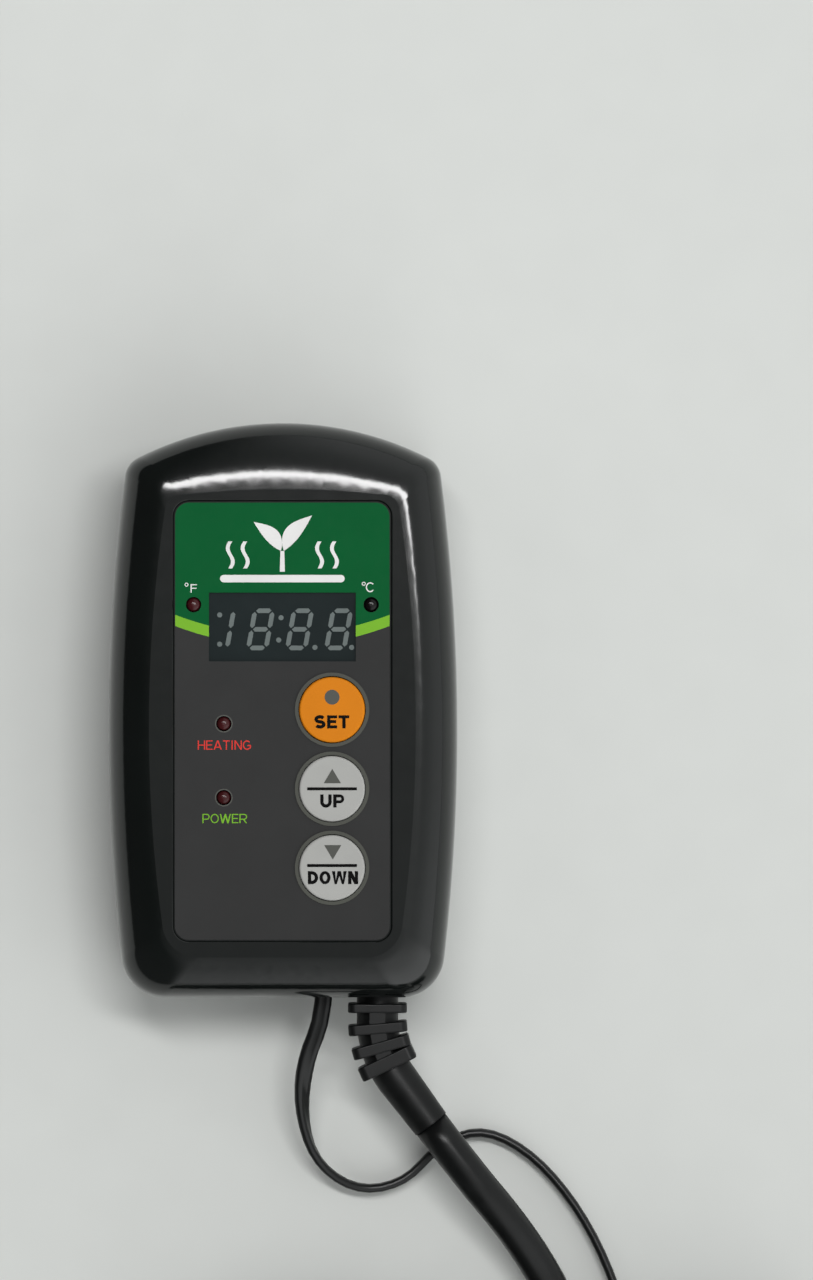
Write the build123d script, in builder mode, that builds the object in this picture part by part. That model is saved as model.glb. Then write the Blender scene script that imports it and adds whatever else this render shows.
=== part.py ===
from build123d import *

from math import cos, pi, radians, sin, tan

# Millimetres. The thermostat lies on its back: +Z comes out of its front face, +Y runs
# to the end with the display, and the origin is the middle of the back face.

# Casing
CASE_LENGTH = 124.2
CASE_WAIST_WIDTH = 75.4
CASE_END_WIDTH = 67.6
WAIST_Y = -4.0
ARCH_DROP = 8.8
CASE_DEPTH = 38.0
PARTING_Z = 19.0
WALL = 2.4
TOP_CORNER = 5.0
BOTTOM_CORNER = 9.5
ROUNDING = 0.2
SHOULDER_WIDTH = 9.0
SHOULDER_DEPTH = 11.0
SHOULDER_STEPS = 5
TOP_SHOULDER = 1.6
CROWN_ARCH = 1.6
SEAM = 0.25
BACK_EDGE = 2.6
LIP_HEIGHT = 2.0
LIP_THICKNESS = 1.2
LIP_CLEARANCE = 0.2
REAR_WALL = WALL + LIP_CLEARANCE + LIP_THICKNESS
BOTTOM_Y = -CASE_LENGTH / 2
ROOF_Z = CASE_DEPTH - WALL

# Printed front sheet, in a shallow recess
OVERLAY_WIDTH = 46.2
OVERLAY_TOP_Y = 44.8
OVERLAY_BOTTOM_Y = -49.3
OVERLAY_CORNER = 3.0
OVERLAY_THICKNESS = 0.25
RECESS_DEPTH = 0.35
RECESS_GAP = 0.25
OVERLAY_LENGTH = OVERLAY_TOP_Y - OVERLAY_BOTTOM_Y
OVERLAY_Y = (OVERLAY_TOP_Y + OVERLAY_BOTTOM_Y) / 2
RECESS_Z = CASE_DEPTH - RECESS_DEPTH
OVERLAY_Z = RECESS_Z + OVERLAY_THICKNESS

# Display
WINDOW_WIDTH = 31.6
WINDOW_HEIGHT = 14.8
WINDOW_Y = 18.0
DISPLAY_FACE_Z = 37.2
DISPLAY_GAP = 0.2
DIGIT_HEIGHT = 9.0
DIGIT_WIDTH = 4.8
DIGIT_SLANT = 10.0
DIGIT_XS = (-4.7, 3.7, 12.1)
ONE_X = -11.2
DIGIT_Y = WINDOW_Y - 0.5
STROKE = 1.0
STROKE_GAP = 0.25
SEGMENT_THICKNESS = 0.1
DOT_RADIUS = 0.55

# Indicator lamps
LAMP_RADIUS = 1.5
LAMP_HOLE = 1.65
LAMP_FLANGE = 1.9
LAMP_TOP_Z = 38.3
LAMP_BASE_Z = 32.6
LAMPS = {
    "fahrenheit_led": (-19.1, 22.8),
    "celsius_led": (19.1, 22.8),
    "heating_led": (-12.6, -2.8),
    "power_led": (-12.6, -18.7),
}

# Push keys
KEY_X = 10.7
KEY_YS = {"set": 0.2, "up": -16.8, "down": -33.8}
KEY_RADIUS = 7.05
KEY_HOLE = 7.25
KEY_TOP_Z = 38.6
KEY_CROWN = 0.45
KEY_FLANGE = 7.9
KEY_FLANGE_THICKNESS = 1.0
KEY_PLAY = 0.2
KEY_RING = 8.0
KEY_RING_HEIGHT = 0.3
STEM_RADIUS = 2.0
STEM_END_Z = 33.0
SWITCH_SIDE = 6.0
SWITCH_CORNER = 0.5
SWITCH_HEIGHT = 3.6
PLUNGER_RADIUS = 1.7
PLUNGER_SUNK = 1.3
PLUNGER_WELL = 2.0
WELL_RADIUS = 1.85

# Circuit boards
BOARD_THICKNESS = 1.6
DISPLAY_BOARD_Z = 25.8
DISPLAY_BOARD_WIDTH = 46.0
DISPLAY_BOARD_LENGTH = 94.0
DISPLAY_BOARD_Y = 1.0
DISPLAY_BOARD_TOP = DISPLAY_BOARD_Z + BOARD_THICKNESS
DISPLAY_SCREWS = ((-19.5, 44.0), (19.5, 44.0), (-19.5, -42.0), (19.5, -42.0))
POWER_BOARD_Z = 6.0
POWER_BOARD_WIDTH = 44.0
POWER_BOARD_LENGTH = 80.0
POWER_BOARD_Y = 8.0
POWER_BOARD_TOP = POWER_BOARD_Z + BOARD_THICKNESS
POWER_SCREWS = ((-18.5, 43.0), (18.5, 43.0), (-18.5, -27.0), (18.5, -27.0))
BOARD_CORNER = 1.5
BOSS_RADIUS = 2.6
PILOT_RADIUS = 1.0
PILOT_DEPTH = 6.0
REAR_PILOT_DEPTH = 4.6
BOARD_HOLE = 1.4
BOARD_SCREW_HEAD = 2.2
BOARD_SCREW_HEAD_HEIGHT = 1.4

# Parts on the display board
DISPLAY_DEPTH = 7.0
PIN_PITCH = 2.54
PIN_COUNT = 10
PIN_ROW_GAP = 10.16
PIN_RADIUS = 0.35
LAMP_LEG_RADIUS = 0.25
LAMP_FLANGE_HEIGHT = 1.0
CHIP_CENTRE = (-8.0, -34.0)
CHIP_SIDE = 10.0
CHIP_HEIGHT = 1.4
CHIP_LEGS = 8
CHIP_LEG_PITCH = 1.0
CHIP_LEG_WIDTH = 0.4
CHIP_LEG_HEIGHT = 0.5
PROBE_SOCKET_CENTRE = (-2.0, -38.0)
PROBE_SOCKET_WIDTH = 7.5
PROBE_SOCKET_DEPTH = 5.8
PROBE_SOCKET_HEIGHT = 6.0

# Parts on the power board
CORE_CENTRE = (-4.0, 30.0)
CORE_Z = 11.0
CORE_WIDTH = 28.0
CORE_LENGTH = 24.0
CORE_STACK = 8.0
CORE_WINDOW_GAP = 14.0
CORE_WINDOW_WIDTH = 5.0
CORE_WINDOW_LENGTH = 15.0
CORE_CLEARANCE = 0.1
LIMB_WIDTH = 9.0
WINDING_WIDTH = 18.6
WINDING_LENGTH = 14.6
WINDING_HEIGHT = 14.6
RELAY_CENTRE = (9.5, -3.0)
RELAY_WIDTH = 19.0
RELAY_DEPTH = 15.6
RELAY_HEIGHT = 15.4
RELAY_CORNER = 1.0
FILM_CENTRE = (-12.0, -6.0)
FILM_WIDTH = 13.0
FILM_DEPTH = 6.0
FILM_HEIGHT = 11.0
FILM_CORNER = 0.8
CANS = ((16.0, 20.0, 4.0, 12.0), (16.0, 30.5, 3.15, 11.0))
CAN_EDGE = 0.5
FUSE_X = -10.0
FUSE_Y = -18.0
FUSE_Z = 13.0
FUSE_RADIUS = 2.5
FUSE_LENGTH = 20.0
CLIP_XS = (-18.0, -2.0)
CLIP_WIDTH = 3.0
CLIP_DEPTH = 7.0
VARISTOR_X = 6.0
VARISTOR_RADIUS = 4.6
VARISTOR_THICKNESS = 3.4
VARISTOR_EDGE = 1.0
DIODES_CENTRE = (-14.0, 8.0)
DIODE_RADIUS = 1.35
DIODE_LENGTH = 5.0
DIODE_PITCH = 4.0
LINK_CENTRE = (3.0, 12.0)
LINK_WIDTH = 20.0
LINK_SIDE = 2.5
LINK_PINS = 7
LINK_PIN_SIDE = 0.64
TERMINAL_XS = (13.0, 16.5, 20.0)
TERMINAL_Y = -20.5
TERMINAL_WIDTH = 2.6
TERMINAL_DEPTH = 5.0
TERMINAL_HEIGHT = 5.0

# Screws that join the two covers
CASE_SCREWS = ((-27.0, 44.5), (27.0, 44.5), (-26.5, -50.0), (26.5, -50.0))
SCREW_HEAD_CLEARANCE = 0.4
SCREW_HEAD_HEIGHT = 2.0
SCREW_SHANK = 17.0
SCREW_CROSS = 3.4
SCREW_CROSS_WIDTH = 0.8
SCREW_CROSS_DEPTH = 1.2
REAR_POST = 4.6
REAR_POST_TOP = 18.8
FRONT_POST = 3.6
FRONT_POST_TOP = 34.0
SCREW_WELL = 3.2
SCREW_WELL_DEPTH = 8.0
SCREW_BORE = 1.7
SCREW_PILOT = 1.3
SCREW_PILOT_DEPTH = 10.0

# Keyhole for hanging the thermostat on a screw
KEYHOLE_Y = 50.0
KEYHOLE_HEAD = 4.0
KEYHOLE_SLOT = 4.0
KEYHOLE_RISE = 5.5

# Power cord and its strain relief, which leaves the casing's lower end
CORD_DIAMETER = 7.8
RELIEF_X = 20.4
RELIEF_HOLE = 5.2
RELIEF_NECK = 5.0
RELIEF_CORE = 4.5
RELIEF_TIP = 4.1
RELIEF_STRAIGHT = 5.0
RELIEF_BEND = 22.0
RELIEF_TURN = 36.87
RELIEF_CONE = 12.0
RELIEF_FLANGE = 5.8
RELIEF_FLANGE_THICKNESS = 2.0
RELIEF_NECK_LENGTH = REAR_WALL + 0.8
RIB_WIDTH = 12.8
RIB_HEIGHT = 11.4
RIB_CORNER = 1.6
RIB_EDGE = 0.35
RIBS = ((2.5, 2.0), (6.9, 2.3), (11.0, 2.5), (14.7, 3.1))
SPINE_WIDTH = 3.4
SPINE_HEIGHT = 10.9

POWER_ROUTE = [
    (32.0, -89.9, 19.0),
    (40.4, -101.0, 19.0),
    (50.0, -112.5, 14.5),
    (58.5, -126.0, 8.0),
    (64.5, -141.0, 5.4),
    (66.6, -158.0, 4.9),
    (66.2, -176.0, 4.9),
]
POWER_TAIL = [
    (51.5, -150.5, 12.7),
    (61.4, -160.4, 13.3),
    (69.2, -171.6, 14.9),
    (74.2, -184.8, 16.6),
    (76.0, -199.0, 17.0),
]
POWER_COIL_CENTRE = (16.0, -186.0)
POWER_COIL_RADII = (34.4, 42.3, 50.2)
POWER_COIL_LEVELS = (4.9, 12.7)

# Probe lead, from a hole beside the power cord
LEAD_WIDTH = 3.8
LEAD_X = 9.1
LEAD_HOLE = 2.2
CLAMP_Y = -54.5
CLAMP_Z = 17.5
CLAMP_WIDTH = 8.0
CLAMP_DEPTH = 4.0
CLAMP_HEIGHT = 9.0
CLAMP_STEM_WIDTH = 5.0
CLAMP_STEM_DEPTH = 3.0
LEAD_ROUTE = [
    (9.1, -52.0, 19.0),
    (9.1, -66.0, 19.0),
    (4.6, -76.0, 16.8),
    (3.6, -87.5, 12.0),
    (6.6, -99.0, 6.6),
    (16.0, -105.6, 2.8),
    (26.5, -103.6, 2.0),
    (33.5, -95.5, 2.0),
    (43.0, -91.5, 2.0),
    (54.0, -97.0, 2.0),
    (64.0, -108.5, 2.0),
    (71.5, -123.0, 2.2),
    (76.0, -139.0, 2.9),
    (77.1, -155.0, 2.9),
]
LEAD_COIL_CENTRE = (100.0, -157.0)
LEAD_COIL_RADII = (15.1, 19.0, 22.9)
LEAD_COIL_LEVELS = (2.9, 6.8, 10.7, 14.6, 18.5)
TIE_THICKNESS = 0.9
TIE_WIDTH = 3.6
TIE_GAP = 0.35
TIE_LIFT = 0.05

# Probe, lying on its coil
PROBE_Z = 23.5
PROBE_RADIUS = 3.0
PROBE_LENGTH = 24.0
PROBE_Y = LEAD_COIL_CENTRE[1] + LEAD_COIL_RADII[0]
BOOT_RADIUS = 2.5
BOOT_LENGTH = 9.0
BOOT_X = 96.0

# Plug with an outlet in its back
PLUG_THICKNESS = 30.0
PLUG_LENGTH = 42.0
PLUG_WIDTH = 34.0
PLUG_X = 76.0
PLUG_TOP_Y = -219.0
PLUG_EDGE = 4.0
PLUG_RELIEF = 20.0
PLUG_RELIEF_WIDE = 7.5
PLUG_RELIEF_NARROW = 4.6
PLUG_RELIEF_CORE = 4.5
GROOVE_START = 3.4
GROOVE_PITCH = 4.2
GROOVE_COUNT = 4
GROOVE_WIDTH = 1.6
BLADE_HOLE = 1.6
BLADE_HOLE_INSET = 4.0
BLADE_CHAMFER = 1.2
INSERT_CORNER = 3.0
BLADE_LENGTH = 17.5
BLADE_WIDTH = 6.35
BLADE_THICKNESS = 1.5
BLADE_SPACING = 12.7
BLADE_ROOT = 6.0
GROUND_RADIUS = 2.4
GROUND_ROOT = 1.8
GROUND_CONTACT = 2.1
GROUND_LENGTH = 20.6
GROUND_OFFSET = 11.9
OUTLET_DEPTH = 12.0
INSERT_THICKNESS = 2.0
INSERT_WIDTH = 24.0
INSERT_LENGTH = 30.0
SLOT_WIDTH = 2.2
LINE_SLOT = 7.2
NEUTRAL_SLOT = 8.8
GROUND_HOLE = 2.7
CONTACT_WIDTH = 6.4
CONTACT_THICKNESS = 1.8
CONTACT_LENGTH = 4.0
PLUG_Z = PLUG_WIDTH / 2
PLUG_Y = PLUG_TOP_Y - PLUG_LENGTH / 2
BLADES_Y = PLUG_Y - 6.4
GROUND_Y = BLADES_Y + GROUND_OFFSET


def save(part, name):
    part.label = name
    export_step(part, f"parts/{name}.step")


def case_outline(height, inset, rounding=0.0, crown=0.0):
    """The casing's plan at one height, drawn in by inset.

    Towards the crown, from 0 at the wall to 1 on top, the arched end flattens and is drawn in more.
    """
    half_end = CASE_END_WIDTH / 2 - inset
    half_waist = CASE_WAIST_WIDTH / 2 - inset
    top = CASE_LENGTH / 2 - inset * (1 + crown * (TOP_SHOULDER - 1))
    arch = top - ARCH_DROP + crown * (ARCH_DROP - CROWN_ARCH)
    bottom = BOTTOM_Y + inset
    with BuildSketch(Plane.XY.offset(height)) as outline:
        with BuildLine():
            ThreePointArc((half_end, arch), (0, top), (-half_end, arch))
            ThreePointArc((-half_end, arch), (-half_waist, WAIST_Y), (-half_end, bottom))
            Line((-half_end, bottom), (half_end, bottom))
            ThreePointArc((half_end, bottom), (half_waist, WAIST_Y), (half_end, arch))
        make_face()
        fillet(outline.vertices().group_by(Axis.Y)[-1], TOP_CORNER - rounding)
        fillet(outline.vertices().group_by(Axis.Y)[0], BOTTOM_CORNER - rounding)
    return outline.sketch


def crown_sections(inset, wall):
    """Plans up the front cover's rounded shoulder, for its outside or, by a wall, its inside."""
    start = CASE_DEPTH - SHOULDER_DEPTH
    width = SHOULDER_WIDTH - wall
    depth = SHOULDER_DEPTH - wall
    sections = []
    for step in range(SHOULDER_STEPS + 1):
        angle = radians(90 * step / SHOULDER_STEPS)
        crown = 1 - cos(angle)
        draw_in = inset + width * crown
        height = start + depth * sin(angle)
        sections.append(case_outline(height, draw_in, ROUNDING * draw_in, crown))
    return sections


def cut_cord_holes():
    """Round holes for the two cords, half in each cover, with the lip cut away beside them."""
    for x, radius, gap in ((RELIEF_X, RELIEF_HOLE, 9.0), (LEAD_X, LEAD_HOLE, 2.6)):
        with Locations(Location((x, BOTTOM_Y, PARTING_Z), (90, 0, 0))):
            Cylinder(radius, 4 * WALL, mode=Mode.SUBTRACT)
        with Locations((x, BOTTOM_Y + WALL + 2.0, PARTING_Z + LIP_HEIGHT / 2)):
            Box(2 * gap, 4.0, LIP_HEIGHT, mode=Mode.SUBTRACT)


# ---------------------------------------------------------------- casing
with BuildPart() as front_cover:
    with BuildSketch(Plane.XY.offset(PARTING_Z)):
        add(case_outline(PARTING_Z, 0))
    extrude(amount=CASE_DEPTH - SHOULDER_DEPTH - PARTING_Z)
    loft(crown_sections(0, 0))
    with BuildSketch(Plane.XY.offset(PARTING_Z)):
        add(case_outline(PARTING_Z, WALL, ROUNDING * WALL))
    extrude(amount=CASE_DEPTH - SHOULDER_DEPTH - PARTING_Z, mode=Mode.SUBTRACT)
    loft(crown_sections(WALL, WALL), mode=Mode.SUBTRACT)
    for height, gap in ((CASE_DEPTH, RECESS_GAP + RECESS_DEPTH), (RECESS_Z, RECESS_GAP)):
        with BuildSketch(Plane.XY.offset(height)):
            with Locations((0, OVERLAY_Y)):
                RectangleRounded(
                    OVERLAY_WIDTH + 2 * gap, OVERLAY_LENGTH + 2 * gap, OVERLAY_CORNER + gap
                )
    loft(mode=Mode.SUBTRACT)
    with BuildSketch(Plane.XY.offset(PARTING_Z)):
        with Locations(*CASE_SCREWS):
            Circle(FRONT_POST)
    extrude(amount=FRONT_POST_TOP - PARTING_Z)
    with BuildSketch(Plane.XY.offset(DISPLAY_BOARD_TOP)):
        with Locations(*DISPLAY_SCREWS):
            Circle(BOSS_RADIUS)
    extrude(amount=ROOF_Z - DISPLAY_BOARD_TOP)
    with BuildSketch(Plane.XY.offset(PARTING_Z)):
        with Locations(*CASE_SCREWS):
            Circle(SCREW_PILOT)
    extrude(amount=SCREW_PILOT_DEPTH, mode=Mode.SUBTRACT)
    with BuildSketch(Plane.XY.offset(DISPLAY_BOARD_TOP)):
        with Locations(*DISPLAY_SCREWS):
            Circle(PILOT_RADIUS)
    extrude(amount=PILOT_DEPTH, mode=Mode.SUBTRACT)
    with BuildSketch(Plane.XY.offset(CASE_DEPTH)):
        with Locations((0, WINDOW_Y)):
            Rectangle(WINDOW_WIDTH + 2 * DISPLAY_GAP, WINDOW_HEIGHT + 2 * DISPLAY_GAP)
        with Locations(*[(KEY_X, y) for y in KEY_YS.values()]):
            Circle(KEY_HOLE)
        with Locations(*LAMPS.values()):
            Circle(LAMP_HOLE)
    extrude(amount=-2 * WALL, mode=Mode.SUBTRACT)
    cut_cord_holes()
save(front_cover.part, "front_cover")

with BuildPart() as rear_cover:
    with BuildSketch():
        add(case_outline(0, SEAM))
    extrude(amount=PARTING_Z)
    fillet(rear_cover.edges().group_by(Axis.Z)[0], BACK_EDGE)
    with BuildSketch(Plane.XY.offset(PARTING_Z)):
        add(case_outline(PARTING_Z, WALL + LIP_CLEARANCE, ROUNDING * WALL))
    extrude(amount=LIP_HEIGHT)
    with BuildSketch(Plane.XY.offset(WALL)):
        add(case_outline(WALL, REAR_WALL, ROUNDING * REAR_WALL))
    extrude(amount=PARTING_Z + LIP_HEIGHT - WALL, mode=Mode.SUBTRACT)
    with BuildSketch(Plane.XY.offset(WALL)):
        with Locations(*CASE_SCREWS):
            Circle(REAR_POST)
    extrude(amount=REAR_POST_TOP - WALL)
    with BuildSketch(Plane.XY.offset(WALL)):
        with Locations(*POWER_SCREWS):
            Circle(BOSS_RADIUS)
    extrude(amount=POWER_BOARD_Z - WALL)
    with BuildSketch():
        with Locations(*CASE_SCREWS):
            Circle(SCREW_WELL)
    extrude(amount=SCREW_WELL_DEPTH, mode=Mode.SUBTRACT)
    with BuildSketch():
        with Locations(*CASE_SCREWS):
            Circle(SCREW_BORE)
    extrude(amount=PARTING_Z + LIP_HEIGHT, mode=Mode.SUBTRACT)
    with BuildSketch(Plane.XY.offset(POWER_BOARD_Z)):
        with Locations(*POWER_SCREWS):
            Circle(PILOT_RADIUS)
    extrude(amount=-REAR_PILOT_DEPTH, mode=Mode.SUBTRACT)
    with BuildSketch():
        with Locations((0, KEYHOLE_Y)):
            Circle(KEYHOLE_HEAD)
        with Locations((0, KEYHOLE_Y + KEYHOLE_RISE / 2)):
            Rectangle(KEYHOLE_SLOT, KEYHOLE_RISE)
        with Locations((0, KEYHOLE_Y + KEYHOLE_RISE)):
            Circle(KEYHOLE_SLOT / 2)
    extrude(amount=WALL, mode=Mode.SUBTRACT)
    for x, y in CASE_SCREWS:
        with Locations((x, y, PARTING_Z + LIP_HEIGHT / 2)):
            Cylinder(FRONT_POST + LIP_CLEARANCE, LIP_HEIGHT, mode=Mode.SUBTRACT)
    cut_cord_holes()
save(rear_cover.part, "rear_cover")

with BuildPart() as overlay:
    with BuildSketch(Plane.XY.offset(RECESS_Z)):
        with Locations((0, OVERLAY_Y)):
            RectangleRounded(OVERLAY_WIDTH, OVERLAY_LENGTH, OVERLAY_CORNER)
        with Locations((0, WINDOW_Y)):
            Rectangle(WINDOW_WIDTH, WINDOW_HEIGHT, mode=Mode.SUBTRACT)
        with Locations(*[(KEY_X, y) for y in KEY_YS.values()]):
            Circle(KEY_HOLE, mode=Mode.SUBTRACT)
        with Locations(*LAMPS.values()):
            Circle(LAMP_HOLE, mode=Mode.SUBTRACT)
    extrude(amount=OVERLAY_THICKNESS)
save(overlay.part, "overlay_label")

with BuildPart() as key_rings:
    with BuildSketch(Plane.XY.offset(OVERLAY_Z)):
        with Locations(*[(KEY_X, y) for y in KEY_YS.values()]):
            Circle(KEY_RING)
            Circle(KEY_HOLE, mode=Mode.SUBTRACT)
    extrude(amount=KEY_RING_HEIGHT)
save(key_rings.part, "key_rings")

with BuildPart() as case_screws:
    for x, y in CASE_SCREWS:
        with BuildSketch(Plane.XY.offset(SCREW_WELL_DEPTH)):
            with Locations((x, y)):
                Circle(SCREW_WELL - SCREW_HEAD_CLEARANCE)
        extrude(amount=-SCREW_HEAD_HEIGHT)
        with BuildSketch(Plane.XY.offset(SCREW_WELL_DEPTH)):
            with Locations((x, y)):
                Circle(SCREW_PILOT)
        extrude(amount=SCREW_SHANK)
        with BuildSketch(Plane.XY.offset(SCREW_WELL_DEPTH - SCREW_HEAD_HEIGHT)):
            with Locations((x, y)):
                Rectangle(SCREW_CROSS, SCREW_CROSS_WIDTH)
                Rectangle(SCREW_CROSS_WIDTH, SCREW_CROSS)
        extrude(amount=SCREW_CROSS_DEPTH, mode=Mode.SUBTRACT)
save(case_screws.part, "case_screws")


# ---------------------------------------------------------------- keys and their switches
def push_key(y):
    """A disc with a crowned top, a flange that keeps it in, and a short stem."""
    with BuildPart() as key:
        flange_top = ROOF_Z - KEY_PLAY
        flange_bottom = flange_top - KEY_FLANGE_THICKNESS
        with BuildSketch(Plane.XY.offset(flange_top)):
            with Locations((KEY_X, y)):
                Circle(KEY_RADIUS)
        extrude(amount=KEY_TOP_Z - flange_top)
        fillet(key.edges().group_by(Axis.Z)[-1], KEY_CROWN)
        with BuildSketch(Plane.XY.offset(flange_bottom)):
            with Locations((KEY_X, y)):
                Circle(KEY_FLANGE)
        extrude(amount=KEY_FLANGE_THICKNESS)
        with BuildSketch(Plane.XY.offset(STEM_END_Z)):
            with Locations((KEY_X, y)):
                Circle(STEM_RADIUS)
        extrude(amount=flange_bottom - STEM_END_Z)
    return key.part


def switch_body(y):
    """A square tactile switch with a round well for its plunger."""
    with BuildPart() as switch:
        with BuildSketch(Plane.XY.offset(DISPLAY_BOARD_TOP)):
            with Locations((KEY_X, y)):
                RectangleRounded(SWITCH_SIDE, SWITCH_SIDE, SWITCH_CORNER)
        extrude(amount=SWITCH_HEIGHT)
        with BuildSketch(Plane.XY.offset(DISPLAY_BOARD_TOP + SWITCH_HEIGHT)):
            with Locations((KEY_X, y)):
                Circle(WELL_RADIUS)
        extrude(amount=-PLUNGER_WELL, mode=Mode.SUBTRACT)
    return switch.part


def switch_plunger(y):
    with BuildPart() as plunger:
        with BuildSketch(Plane.XY.offset(STEM_END_Z)):
            with Locations((KEY_X, y)):
                Circle(PLUNGER_RADIUS)
        extrude(amount=DISPLAY_BOARD_TOP + SWITCH_HEIGHT - PLUNGER_SUNK - STEM_END_Z)
    return plunger.part


for key_name, key_y in KEY_YS.items():
    save(push_key(key_y), f"{key_name}_key")
    save(switch_body(key_y), f"{key_name}_switch")
    save(switch_plunger(key_y), f"{key_name}_switch_plunger")

# ---------------------------------------------------------------- display and lamps
with BuildPart() as display_board:
    with BuildSketch(Plane.XY.offset(DISPLAY_BOARD_Z)):
        with Locations((0, DISPLAY_BOARD_Y)):
            RectangleRounded(DISPLAY_BOARD_WIDTH, DISPLAY_BOARD_LENGTH, BOARD_CORNER)
        with Locations(*DISPLAY_SCREWS):
            Circle(BOARD_HOLE, mode=Mode.SUBTRACT)
    extrude(amount=BOARD_THICKNESS)
save(display_board.part, "display_board")

with BuildPart() as display_screws:
    for x, y in DISPLAY_SCREWS:
        with BuildSketch(Plane.XY.offset(DISPLAY_BOARD_Z)):
            with Locations((x, y)):
                Circle(BOARD_SCREW_HEAD)
        extrude(amount=-BOARD_SCREW_HEAD_HEIGHT)
        with BuildSketch(Plane.XY.offset(DISPLAY_BOARD_Z)):
            with Locations((x, y)):
                Circle(PILOT_RADIUS)
        extrude(amount=BOARD_THICKNESS + PILOT_DEPTH - 0.6)
save(display_screws.part, "display_board_screws")

with BuildPart() as led_display:
    with BuildSketch(Plane.XY.offset(DISPLAY_FACE_Z)):
        with Locations((0, WINDOW_Y)):
            Rectangle(WINDOW_WIDTH, WINDOW_HEIGHT)
    extrude(amount=-DISPLAY_DEPTH)
save(led_display.part, "led_display")

with BuildPart() as display_pins:
    with BuildSketch(Plane.XY.offset(DISPLAY_BOARD_TOP)):
        with Locations((0, WINDOW_Y)):
            with GridLocations(PIN_PITCH, PIN_ROW_GAP, PIN_COUNT, 2):
                Circle(PIN_RADIUS)
    extrude(amount=DISPLAY_FACE_Z - DISPLAY_DEPTH - DISPLAY_BOARD_TOP)
save(display_pins.part, "display_pins")


def slanted(x, y, digit_x):
    """A point of an upright digit, leaned over by the digit slant about the digit's middle."""
    return (digit_x + x + y * tan(radians(DIGIT_SLANT)), DIGIT_Y + y)


def segment(start, end, digit_x):
    """A bar with pointed ends between two corners of a digit."""
    (x0, y0), (x1, y1) = start, end
    length = ((x1 - x0) ** 2 + (y1 - y0) ** 2) ** 0.5
    ux, uy = (x1 - x0) / length, (y1 - y0) / length
    half = STROKE / 2
    outline = []
    for along, across in (
        (STROKE_GAP, 0),
        (STROKE_GAP + half, half),
        (length - STROKE_GAP - half, half),
        (length - STROKE_GAP, 0),
        (length - STROKE_GAP - half, -half),
        (STROKE_GAP + half, -half),
    ):
        outline.append(
            slanted(x0 + ux * along - uy * across, y0 + uy * along + ux * across, digit_x)
        )
    Polygon(*outline, align=None)


HALF_W = (DIGIT_WIDTH - STROKE) / 2
HALF_H = (DIGIT_HEIGHT - STROKE) / 2
RIGHT_BARS = [((HALF_W, 0), (HALF_W, HALF_H)), ((HALF_W, -HALF_H), (HALF_W, 0))]
LEFT_BARS = [((-HALF_W, 0), (-HALF_W, HALF_H)), ((-HALF_W, -HALF_H), (-HALF_W, 0))]
LEVEL_BARS = [((-HALF_W, y), (HALF_W, y)) for y in (-HALF_H, 0, HALF_H)]
DOTS = [(-13.5, 20.6), (-13.5, 14.3), (-0.3, 20.0), (-0.8, 15.2), (7.0, 13.6), (14.9, 13.6)]

with BuildPart() as display_segments:
    with BuildSketch(Plane.XY.offset(DISPLAY_FACE_Z)):
        for digit_x in DIGIT_XS:
            for start, end in RIGHT_BARS + LEFT_BARS + LEVEL_BARS:
                segment(start, end, digit_x)
        for start, end in RIGHT_BARS:
            segment(start, end, ONE_X - HALF_W)
        with Locations(*DOTS):
            Circle(DOT_RADIUS)
    extrude(amount=SEGMENT_THICKNESS)
save(display_segments.part, "display_segments")


def lamp(x, y):
    """A 3 mm lamp: a domed cylinder on a wider flange."""
    with BuildPart() as led:
        with BuildSketch(Plane.XY.offset(LAMP_BASE_Z)):
            with Locations((x, y)):
                Circle(LAMP_FLANGE)
        extrude(amount=LAMP_FLANGE_HEIGHT)
        with BuildSketch(Plane.XY.offset(LAMP_BASE_Z + LAMP_FLANGE_HEIGHT)):
            with Locations((x, y)):
                Circle(LAMP_RADIUS)
        extrude(amount=LAMP_TOP_Z - LAMP_BASE_Z - LAMP_FLANGE_HEIGHT)
        fillet(led.edges().group_by(Axis.Z)[-1], LAMP_RADIUS - 0.25)
    return led.part


for lamp_name, (lamp_x, lamp_y) in LAMPS.items():
    save(lamp(lamp_x, lamp_y), lamp_name)

with BuildPart() as lamp_legs:
    with BuildSketch(Plane.XY.offset(DISPLAY_BOARD_TOP)):
        with Locations(*LAMPS.values()):
            with GridLocations(PIN_PITCH, 1, 2, 1):
                Circle(LAMP_LEG_RADIUS)
    extrude(amount=LAMP_BASE_Z - DISPLAY_BOARD_TOP)
save(lamp_legs.part, "lamp_legs")

with BuildPart() as microcontroller:
    with BuildSketch(Plane.XY.offset(DISPLAY_BOARD_TOP)):
        with Locations(CHIP_CENTRE):
            Rectangle(CHIP_SIDE, CHIP_SIDE)
    extrude(amount=CHIP_HEIGHT)
    with BuildSketch(Plane.XY.offset(DISPLAY_BOARD_TOP)):
        for side in range(4):
            with Locations(Location(CHIP_CENTRE, 90 * side)):
                with Locations(((CHIP_SIDE + CHIP_LEG_PITCH) / 2, 0)):
                    with GridLocations(1, CHIP_LEG_PITCH, 1, CHIP_LEGS):
                        Rectangle(CHIP_LEG_PITCH, CHIP_LEG_WIDTH)
    extrude(amount=CHIP_LEG_HEIGHT)
save(microcontroller.part, "microcontroller")

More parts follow.
